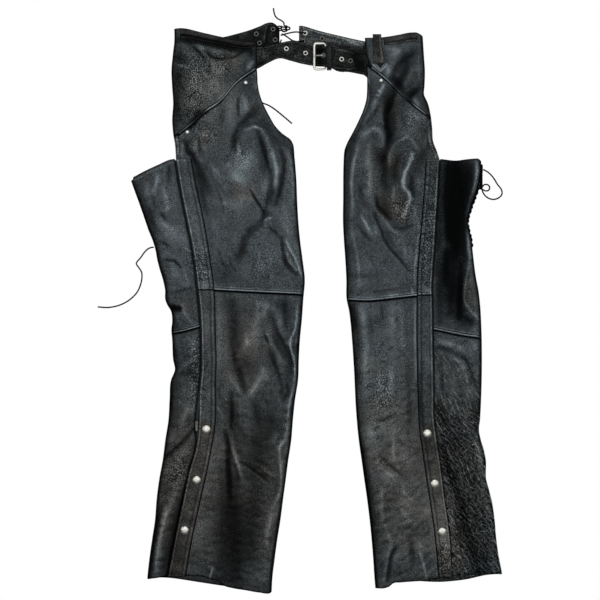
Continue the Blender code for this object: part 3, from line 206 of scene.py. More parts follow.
class Leg:
    """The curves of one leg, and the surfaces of its panels worked out from them."""

    def __init__(self, name, side, seed, band_end, edges, creases, shades, warm, grain):
        """Each table of edges is headed by its name, what it is read by and its columns. It becomes a smooth
        curve of its name, or straight ones where it has more columns than one."""
        self.name, self.side, self.inward, self.seed, self.band_end = name, side, -side, seed, band_end
        self.creases, self.shades = marks(creases), marks(shades)
        self.warm, self.grain = marks(warm), marks(grain)
        for entry in edges.split(";"):
            head, text = entry.split(":")
            key, _, *others = head.split()
            at, *columns = rows(text).T
            for other, column in zip(others, columns):
                curve = smooth(at, column) if len(others) == 1 else linear(at, column)
                setattr(self, key if len(others) == 1 else f"{key}_{other}", curve)
            if key == "waistband":
                self.waistband_ends = at.min(), at.max()

    def outer(self, y):
        return np.where(y > ZIP_TOP, self.hip(y), self.fold(y))

    def inner(self, y):
        return np.where(y > ZIP_TOP, self.crotch(y), self.inseam(y))

    def back_edge(self, y):
        return self.placket_out(y) + self.side * self.slit_back(y)

    def front_edge(self, y):
        below = self.placket_out(y) + self.side * self.slit_front(y)
        return np.where(y > ZIP_TOP, self.hip(y) + self.inward * (FOLD + 2.6), below)

    def pocket_level(self, surface, across):
        """Level of the pocket seam at each fraction across a panel that it bounds."""
        y = np.full(np.shape(across), 390.0)
        for _ in range(14):
            y = (y + self.pocket(surface(across, y)[0])) / 2
        return y

    def welt_ends(self):
        """Where the pocket's welt starts and ends across the leg."""
        return self.hip(330.0) + self.inward * 12.0, self.hip_edge(442.0) + self.side * 3.0

    def waistband_at(self, across, down):
        """Places on the yoke under the waistband, by fractions along it and down it."""
        across = CURL_PART + (1 - CURL_PART) * across
        y = self.waist(across) - 1.0 - self.waistband(across) * down
        x, z = self.yoke(across, y)
        return x, y, z

    def relief(self, x, y):
        """Painted light and shade of the creases (their tone), and their rise with broad swells in mm."""
        tone, rise = strokes(x, y, self.creases, 0.2)
        return tone, 1.3 * rise + swells(x, y, self.seed, 110, 40, 0.5)

    def paint(self, points, level, edge=None, rim=7.0, extra=0.0):
        """The polish of the leather, its warmth and the strength of its grain, each from 0 to about 1.
        The polish is partly real gloss and partly painted light and shade: painted shade down the folded edges,
        painted highlights and shade from the strokes, a painted highlight where creases rise, and changes from
        uneven handling."""
        x, y = points[..., 0], points[..., 1]
        tone, rise = self.relief(x, y)
        # Painted light and shade: the creases' tone, the broad shades, a highlight on rises and the caller's
        # lines
        tone = 1.7 * tone + strokes(x, y, self.shades)[0] + 0.08 * rise + extra
        tone = tone + swells(x, y, self.seed + 70, 60, 14, 0.12)
        from_edge = np.minimum(np.abs((edge or self.inner)(y) - x), np.abs(x - self.outer(y)))
        # Painted shade: the polish falls off towards the folded edges, over rim mm
        shine = np.clip(level * np.exp(tone), 0.004, 1.0) * (0.08 + 0.92 * ease((from_edge - 1.0) / rim))
        warmth = strokes(x, y, self.warm)[0] + swells(x, y, self.seed + 5, 80, 20, 0.12)
        grain = strokes(x, y, self.grain)[0] + 0.25 + swells(x, y, self.seed + 6, 60, 15, 0.12)
        return {"polish": shine, "warmth": np.clip(warmth, 0, 1), "grain": np.clip(grain, 0, 1)}

    def height(self, x, y, edge=None):
        """Middle of the upper layer: LOFT with its creases and swells, turned down along an ellipse at
        each edge. Creases die out under the strips, which lie flat."""
        from_inner = np.maximum(np.abs((edge or self.inner)(y) - x) - WALL / 2, 0)
        from_outer = np.maximum(np.abs(x - self.outer(y)) - WALL / 2, 0)
        from_zip = (self.placket_out(np.minimum(y, ZIP_TOP)) - x) * self.side
        strip = np.where(from_zip > 0, ease((from_zip - 27) / 14), ease((-from_zip - 1) / 12))
        fade = ease(from_inner / 10) * ease(from_outer / 12) * np.where(y > ZIP_TOP, 1.0, strip)
        relief = self.relief(x, y)[1] + swells(x, y, self.seed + 40, 22, 9, 0.2)
        gentle = swells(x, y, self.seed + 90, 140, 60, 0.35) * ease(from_inner / 20) * ease(from_outer / 20)
        z = turned(from_inner, self.edge_curl(y), self.edge_height(y), LOFT + fade * relief + gentle)
        return turned(from_outer, FOLD, FOLD_MIDDLE, z)

    def front(self, across, y):
        """The front panels: flat from the zip side to the shoulder, then down the inner edge's curl."""
        inner, curl, start = self.inner(y), self.edge_curl(y), self.front_edge(y)
        shoulder = inner + self.side * (WALL / 2 + curl)
        turn = quarter(1 - across, 0, CURL_PART)
        flat = start + (shoulder - start) * np.minimum(across / (1 - CURL_PART), 1)
        x = np.where(across < 1 - CURL_PART, flat, inner + self.side * (WALL / 2 + curl * (1 - np.cos(turn))))
        z = self.height(x, y)
        return x, np.where(across >= 1, z + FOLD_SEAM, z)

    def yoke(self, across, y):
        """The hip's front: as the front, with a curl at the outer edge too."""
        outer = self.hip(y)
        curled = outer + self.inward * (WALL / 2 + FOLD * (1 - np.cos(quarter(across, 0, CURL_PART))))
        shoulder = outer + self.inward * (WALL / 2 + FOLD)
        inner = self.hip_edge(y) + self.side * WALL / 2
        flat = shoulder + (inner - shoulder) * np.clip((across - CURL_PART) / (1 - CURL_PART), 0, 1)
        x = np.where(across < CURL_PART, curled, flat)
        z = self.height(x, y, self.hip_edge)
        return x, np.where(across <= 0, z + FOLD_SEAM, z)

    def back(self, across, y):
        """The back panels: inner curl, along the surface, round the outer fold, and back to the zip."""
        on_flap = np.minimum(y, ZIP_TOP)
        inner, outer, rise = self.inner(y), self.outer(on_flap), FOLD_MIDDLE - REST
        in_seam, shoulder_in, shoulder_out, top = BACK_PARTS
        turn = quarter(across, in_seam, shoulder_in)
        x = inner + self.side * (WALL / 2 + FOLD * (1 - np.cos(turn)))
        z = FOLD_MIDDLE - FOLD_SEAM * (turn <= 0) - rise * np.sin(turn)
        run = np.clip((across - shoulder_in) / (shoulder_out - shoulder_in), 0, 1)
        start, end = inner + self.side * (WALL / 2 + FOLD), outer + self.inward * (WALL / 2 + FOLD)
        lying = (across > shoulder_in) & (across <= shoulder_out)
        x, z = np.where(lying, start + (end - start) * run, x), np.where(lying, REST, z)
        turn = quarter(across, shoulder_out, top, 2)
        folding = (across > shoulder_out) & (across <= top)
        x = np.where(folding, end + self.side * FOLD * np.sin(turn), x)
        z = np.where(folding, FOLD_MIDDLE - rise * np.cos(turn), z)
        run = np.clip((across - top) / (1 - top), 0, 1)
        x = np.where(across > top, end + (self.back_edge(y) - end) * run, x)
        return x, np.where(across > top, self.height(x, on_flap), z)

    def band(self, across, y):
        """The hip's back: from a negative fraction on top of the fold, down round it at 0, and along the
        surface to the end of the band."""
        outer = self.hip(y)
        turn = np.clip(across / BAND_CURL, -1, 1) * math.pi / 2
        curled = outer + self.inward * (WALL / 2 + FOLD * (1 - np.cos(turn)))
        start = outer + self.inward * (WALL / 2 + FOLD)
        run = np.clip((across - BAND_CURL) / (1 - BAND_CURL), 0, 1)
        x = np.where(across > BAND_CURL, start + (self.band_end - start) * run, curled)
        tucked = across < -BAND_CURL - 0.015
        x = np.where(across < -BAND_CURL, outer + self.inward * (FOLD + 2.0 + 5.0 * tucked), x)
        z = FOLD_MIDDLE - FOLD_SEAM * (across == 0) - (FOLD_MIDDLE - REST) * np.sin(turn) - 2.2 * tucked
        return x, z


def panel(surface, top, bottom, across, along):
    """Points of a panel: surface(across, level) between the seams top and bottom. Returns them with the
    distance of each from the top seam and from the bottom one, in mm."""
    across, along = np.meshgrid(across, along)
    at = np.maximum(across, 0)
    high, low = top(at) - SEAM, bottom(at) + SEAM
    y = high + (low - high) * along
    x, z = surface(across, y)
    return joined(x, y, z), high - y, y - low


def together(*parts):
    """Fractions from several runs, in order and each once."""
    return np.unique(np.concatenate(parts))


def strip_rounding(side, wide, reach=1.4, drop=0.55):
    """How far a strip's surface falls near its two long edges, for fractions across it."""
    near = np.minimum(side, 1 - side) * wide
    return -drop * (1 - np.clip(near / reach, 0, 1)) ** 2


def strip_columns(wide, step=2.0):
    """Fractions across a strip, close together at its edges."""
    fine = np.array([0.0, 0.3, 0.7, 1.2, 1.8]) / wide
    return together(fine, 1 - fine, np.linspace(0, 1, int(wide / step) + 1))


# ---------------------------------------------------------------- the two legs
# edges: the seams and outlines, by level or by fraction across. creases: width, tone (painted light and
# shade: the polish grows e-fold for each 1), rise in mm. shades, warm, grain: width and amount of broad
# painted light and shade, of warmer leather and of leather whose grain stands out.

RIGHT_LEG = Leg("right", side=-1, seed=3, band_end=-69.4, edges="""
hip level x: 520 -264.6, 494 -264.4, 469 -267.1, 440 -269.7, 410 -268.6, 380 -266.6, 345 -268.3, 321 -266.4,
302 -263.3, 275 -261.4;
hip_edge level x: 520 -111, 490 -111, 430 -111;
crotch level x: 442 -111, 417 -109.2, 400 -106.9, 380 -100.6, 365 -93.6, 350 -85.6, 335 -76.5, 321 -62.9,
311 -49.2, 302 -44, 291 -42.3, 275 -41.5;
fold level x: 275 -358, 254 -351, 234 -344.4, 217 -338.4, 199 -331.7, 180 -325, 162 -318.8, 143 -312.3,
125 -304.9, 106 -299.3, 88 -296, 69 -291, 51 -285.5, 32 -281.6, 14 -281, 4 -277, -5 -271.4, -23 -268.3,
-42 -269.9, -60 -268.4, -97 -266.6, -116 -263.4, -134 -270.3, -171 -273.2, -208 -275.3, -245 -281, -282 -285.8,
-319 -292.5, -356 -297.3, -393 -300.1, -430 -305.6, -467 -310.8, -502 -314.5, -530 -316;
inseam level x: 275 -41, 236 -38, 199 -36.6, 162 -34.6, 125 -31.3, 88 -26.5, 51 -22.4, 14 -25.3, -23 -27.9,
-60 -31.5, -97 -33.5, -134 -34.8, -171 -40.5, -208 -44.4, -245 -47.4, -282 -52.9, -319 -57.7, -356 -62.7,
-393 -67.5, -430 -73.4, -467 -78.4, -504 -82.7, -530 -84;
placket_out level x: 275 -259.9, 234 -253.5, 199 -247, 156 -238, 114 -229.8, 82 -224.8, 45 -220.7, 28 -218.5,
-34 -213.3, -88 -212.4, -112 -212.4, -162 -216.5, -205 -217.4, -245 -220.5, -262 -223.3, -304 -235.5,
-327 -240.5, -377 -251, -421 -260.3, -467 -269.2, -497 -275, -530 -280.5;
placket_in level x: 275 -232.5, 234 -224.8, 162 -209.5, 88 -197, 51 -191.9, 20 -188.9, -12 -188.3, -51 -187.5,
-97 -186, -134 -187, -208 -187.3, -282 -198.8, -356 -215, -430 -231, -503 -243.5, -530 -248;
slit level back front zip: 275 3 -5.4 -1.2, -150 3 -5.4 -1.2, -198 7 -0.4 4.1, -228 7 -0.4 4.1, -246 2.6 -3 -1,
-530 2.2 -3 -1;
pocket x level: -270 309.5, -255.9 321, -231.3 340.4, -202.8 365.2, -179.8 381.1, -149.9 414.8, -112.5 442.2,
-105 447.7;
waist across level: 0 515.6, 0.09 516.9, 0.36 508.6, 0.57 501, 0.75 495.2, 1 491;
knee across level: 0 32.6, 0.5 27.5, 1 23;
hem_front across level: 0 -498, 0.22 -497, 0.33 -499, 0.39 -503, 0.47 -506.5, 0.53 -515, 0.62 -520, 0.75 -524,
0.87 -528, 0.97 -529, 1 -526;
back_top across level: 0 286, 0.3 258, 0.66 240, 0.77 235, 0.88 241.5, 0.91 251, 0.954 264, 0.99 274, 1 275;
back_seam across level: 0 -42, 0.4 -50, 0.8 -50, 0.9 -47, 1 -36.5;
hem_back across level: 0 -526, 0.25 -519, 0.42 -510, 0.55 -503, 0.88 -502.3, 1 -498;
band_top across level: 0 511, 0.3 500, 0.45 501.2, 0.59 507.6, 0.73 515.6, 0.82 522.6, 0.89 528.5, 0.94 528.4,
0.98 522.5, 1 517.5;
band_bottom across level: 0 271.5, 0.1 296, 0.25 350, 0.5 418, 0.75 452, 1 476;
waistband across depth: 0.03 18, 0.36 15.2, 0.7 13.2, 0.88 13, 0.985 7.5;
edge level height curl: 530 9.5 6, 425 9.5 6, 385 5.6 34, 330 5 34, 296 5.175 14, 280 5.175 8, -530 5.175 8
""", creases="""
yoke 2.6 -1.3 -1.5 193,47 199,52 204,58; 2.8 -1.2 -1.4 205,51 212,57 220,59 227,59;
2.4 -.9 -.8 228,58 233,58 240,54 244,51; 5 .51 1.2 195,44 202,47 206,52; 4 .6 1.2 209,47 216,52 222,50;
3.2 .4 .8 225,50 232,54 238,50; 2.8 .59 .8 175,64 181,65 187,68; 9 -.5 -.6 177,55 186,62; 8 -.5 0 179,72 180,87;
13 .35 .5 192,56 195,80 192,104; 6 .7 .5 213,66 219,71; 3.1 .68 .6 203,70 207,77; 3 -.5 0 210,65 209,75;
1.6 -1.2 -.8 189,100 192,95 199,90; 4.5 .94 .8 248,68 253,61; 5 -.7 -.5 251,48 252,57;
5 -1.1 -1 200,111 194,120 190,128; 7 .25 0 204,96 205,108; 10 -.25 0 222,80 232,72; 6 -.5 0 176,92 178,118;
4 .4 0 181,43 186,47;
thigh 2.8 -.9 -1 238,97 238,108 239,116; 8 .35 .6 230,102 230,124; 4.5 .68 .8 243,97 246,104 246,111;
4 -.4 0 222,108 221,124; 7 -1 -1.6 258,108 248,117 239,126; 5 -1 -1.4 238,127 234,136 233,148;
5 -.5 -.6 231,155 226,164; 12 -.6 0 258,116 270,134 284,147; 3.9 .77 1.4 238,143 239,150 238,157;
3.1 .68 1.4 244,130 250,128 255,127 262,130 267,138 270,148; 2.8 .85 .4 254,126 257,128;
4.6 1 1.8 272,150 275,160 277,170 276,180 274,189; 4.2 -1.2 -1.8 258,133 262,142 265,152 268,163 270,173;
4.2 -1 -1.6 281,151 284,160 284,170 282,182 278,196 275,205; 4.2 .51 .8 284,148 288,153 291,162 292,170;
3.6 .51 .6 293,170 294,184 294,200; 6 -.8 -1 271,177 272,190 270,203; 7 .4 .6 282,192 283,205 287,216;
9 .3 0 278,214 288,226; 15 .45 .8 236,166 250,158; 8 .35 0 246,154 252,154; 8 .4 .4 232,172 240,182;
4.2 .51 1 226,167 229,161 232,155; 3.1 .42 .8 211,163 216,171 222,178; 3.8 -.6 -1.2 205,165 215,181 224,192;
8 -.7 -.6 199,166 205,180 211,196; 6 -.5 0 202,188 206,214; 2.6 -.5 -.8 215,185 221,198 224,212;
13 .3 .3 232,205 246,199; 2.3 -1.3 -1.8 250,189 255,198 261,207 264,214;
4.2 -.6 -1 268,187 267,200 265,212 262,220; 8 -.95 -1.8 266,214 260,224 250,232 244,240 242,250 238,260;
2.1 1.02 .6 264,221 267,218 271,218; 3.6 -.7 -.8 268,227 274,231 279,236;
3.8 -1 -1.6 281,238 283,250 286,262 291,269 297,275; 3.6 .94 1.6 286,241 290,249 295,258 299,268 302,277;
6 .35 .4 284,224 289,236; 3 -.4 -.6 218,250 222,261 227,270; 3.2 -.35 -.6 228,256 236,272;
8 .2 .5 214,220 218,245; 10 .2 .4 256,246 262,276; 4.2 .42 .5 202,134 208,131; 7 .45 .4 198,136 214,134;
4.2 .51 .6 195,140 196,150; 2.2 -.6 -.6 199,139 200,152; 5 -1.5 -1.6 187,143 187,150 193,156 197,164;
4 .4 .4 181,141 184,152; 4.8 .42 0 202,146 206,152; 10 -.15 0 212,154 222,150; 6 .25 0 205,112 212,122;
shin 8 -.5 -1 233,299 234,320 233,345 234,364; 10 -.35 0 238,304 237,360; 3 -.5 0 234,352 235,364;
7 .5 .8 258,303 266,308 263,318; 4.1 .32 .8 257,304 258,322; 9 .42 1.2 258,316 254,332 249,342 246,351;
4.5 .41 .8 247,333 246,346; 7 .34 1 262,302 270,305 277,312 280,322 280,329;
4.8 -.75 -1.5 272,318 277,334 284,346 290,358 291,373; 6.1 .41 1.2 268,330 271,344 277,352 282,364;
2 -.5 -1 264,334 268,345; 3.6 -.6 -1 270,352 276,368 280,380 283,393; 6 -.4 0 284,302 286,330; 2.9 1.05 1.6
297,304 297,318 295,330 291,339 290,345 292,354 295,364 295,378 295,387 291,398 289,408 288,417;
3.2 -1.1 0 298,342 297,352; 3.6 -.6 -.8 287,384 288,394 283,403; 8 .2 .3 257,338 256,362;
5.2 .32 1 226,370 232,381 238,390 243,398; 6.5 .47 1.2 264,370 257,383 250,396; 5 .35 .4 262,366 267,380;
6 -.8 -1.2 238,368 244,391; 8 .2 .3 244,400 247,424; 8 -.5 -.6 255,404 259,426; 8 -.4 -.4 268,416 276,424;
4 -1 -1.2 231,394 232,412 231,430; 4.8 -1.3 -1.4 225,432 228,446 228,462 229,480 230,500;
4.4 .7 1.2 288,417 287,430 285,440 279,449 280,458 281,470 282,482 281,492 277,500 273,509;
6.5 .68 .8 272,512 269,526 266,540 267,549; 5.8 .48 0 277,431 273,443;
5.1 .68 1.4 231,443 235,457 239,470 242,482; 2.6 -.7 -1 240,462 248,467 255,472 262,477 269,483;
4.9 .41 .8 250,461 262,468 272,477; 16 -1 -.6 233,478 236,540 236,584; 17 -.55 0 256,440 252,500 252,560;
12 -.1 .4 212,450 206,570; 9 .25 0 270,560 262,584; 5.2 .34 .6 219,298 219,340 218,374;
8 .15 .4 224,306 225,366; 2.1 1.1 .6 209,580 211,574 213,567; 4.9 .34 .6 216,404 219,414 224,419;
2.6 -.5 -.6 219,388 220,400; 2.2 -.5 -.5 215,409 221,417; 3 .3 .3 240,400 240,430; 5 -.4 0 240,426 246,440;
back 5 .59 1 158,174 156,184 154,192; 5 .6 1 163,188 166,199 168,207 164,213; 6 .3 0 146,182 148,196;
4.4 -.7 -1 169,165 169,180; 4 -.5 -.6 153,196 155,207; 3 -.7 -1 161,213 166,220; 7 -.6 -.6 149,210 156,232;
7 .45 .6 160,223 172,229 177,238; 3 -.5 -.8 160,242 169,246; 4 .2 .6 164,251 173,256;
2.3 -1 -1.2 165,260 174,261 181,268; 2.5 .59 .6 184,246 191,253; 7 .35 .6 172,266 177,278;
3 .4 .4 184,268 187,281; 3.2 -.5 -.8 176,293 184,290 191,288; 4.8 -2 -2.2 170,306 176,309 181,309;
3.9 .54 1 181,304 183,308 183,314; 5 -.5 0 173,318 177,327; 5 .35 .4 185,314 191,322; 4 .3 .4 189,208 186,200;
5 -.7 0 174,344 178,366; 7.2 .4 0 192,340 197,360; 5.2 .41 .8 183,367 188,364 193,360;
5 -.5 -.8 180,376 190,372 197,380; 4 .3 .4 183,385 184,396; 5.8 .48 .4 194,395 198,403; 4 -.7 0 172,386 171,412;
6.1 .47 1.2 189,407 184,418 181,427; 3.5 .32 .6 196,404 192,413;
4.2 -1 -1.6 194,429 186,440 177,448 168,456 164,460; 7.2 .36 .6 190,445 182,456 176,462;
4 .35 .4 174,434 171,442; 8 .4 .3 178,468 183,476 172,488; 8 -1.2 -1.4 186,490 179,520 171,560 170,580;
7 .6 1.4 177,488 171,504 166,516 162,530 158,548 156,566 156,580; 5 -1 0 161,506 153,550 150,576
""", shades="""
4 -1.8 206,111 198,118 189,128; 4 .7 237,82 224,95 212,107; 6 -1.2 176,39 200,41 222,46 250,51;
60 .2 204,62 204,110; 34 .75 204,62 218,80 204,100; 14 .3 232,62 246,60; 11 -.8 177,50 175,80 177,128;
5.5 -1.3 180,40 203,43 220,46 240,51 252,49; 9 -.6 215,40 250,45; 16 -.6 242,80 252,88; 8 -.5 195,120 197,128;
6 -.9 180,141 187,142; 6 .6 177,134 183,131; 5 .9 178,150 181,157; 50 .25 238,130 250,240;
24 .3 238,164 248,186; 12 .35 240,168 244,190; 7 .4 242,104 243,118; 12 .4 206,100 220,112;
12 .1 200,130 210,140; 7 -.9 260,138 262,155 265,174; 5 -.7 255,122 244,128 238,138 236,152;
4 .6 268,154 270,168; 6 -.8 282,192 281,206; 6 -.5 276,174 279,182; 6 .6 267,180 266,194;
9 -1 190,158 197,170 200,185 200,200; 9 -.5 199,150 206,153; 4.5 .6 205,168 212,176 222,190;
9 .5 224,200 225,206; 10 .45 246,238 256,226 270,220; 24 .35 266,246 276,270; 5 1 284,250 290,262 297,272;
4 -.6 281,256 288,270; 5 .6 295,244 300,262; 8 .35 291,165 291,245; 4 -.5 297,178 297,240;
16 -.4 226,266 226,284; 12 .35 192,196 198,250; 7 .5 201,240 205,262; 7 1 201,271 210,276; 8 .8 200,286 212,286;
back 30 .35 166,180 176,240 182,285; 12 .4 158,176 164,188; 8 .7 166,231 170,239; 8 .4 181,220 184,242;
9 .5 182,284 190,286; 8 -.6 137,184 146,215 154,246 163,280; 7 -.5 172,311 180,312; 6 -.8 172,331 183,330;
12 .5 186,338 198,340; 11 .4 190,354 199,362; 12 .7 193,386 189,412; 8 -.6 177,370 174,400 171,432;
6 .6 170,452 180,444 192,434; 14 .55 180,460 168,476; 8 -.7 180,500 172,530 166,560 166,580;
6 .5 167,505 160,540 154,576;
strip 9 .4 206,318 206,345; 9 .35 208,368 208,420; 12 .5 206,424 206,446; 28 .5 208,446 203,480 199,520 194,572;
12 .3 206,450 212,466; 8 -.6 229,300 229,328; 14 -.6 274,310 286,308; 7 -.6 285,298 288,322;
6 -1.2 272,334 280,350 287,360; 7 -.6 270,352 274,372; 5 -.8 293,344 293,354; 10 -.7 288,368 288,388;
6 -.6 280,390 284,398; 16 -.6 238,358 248,378; 14 -.9 230,405 234,422 236,442;
10 -.8 236,450 246,458 262,464 268,472; 22 -1 264,410 268,428 262,442 268,456;
14 -1 224,472 225,510 223,545 222,582; 30 -.5 234,500 232,580; 14 -.5 248,516 250,570; 16 -.4 262,484 258,520;
8 .4 257,330 253,346; 5 .7 226,377 231,384; 6 .6 268,375 256,388 248,397; 6 .5 284,440 280,450;
7 .4 294,390 289,440 281,500 272,535; 10 .4 256,534 263,546; 20 .3 252,575 266,586
""", warm="""
24 .8 230,200 252,192; 30 .5 204,70 224,60; 140 .8 240,420 235,570; 20 .6 186,300 176,316;
50 .5 176,400 160,570; 14 .6 200,136 214,136; 14 .9 228,57 236,60; 90 .65 200,70 190,120; 50 .7 246,310 240,380
""", grain="""
34 .8 192,50 194,100 186,124; 26 .8 214,64 230,70; 16 .5 240,150 246,160; 20 .6 196,250 206,282;
16 .6 194,340 197,400; 22 .6 180,455 176,486; 20 .4 206,132 212,144; 24 .35 262,250 266,280
""")
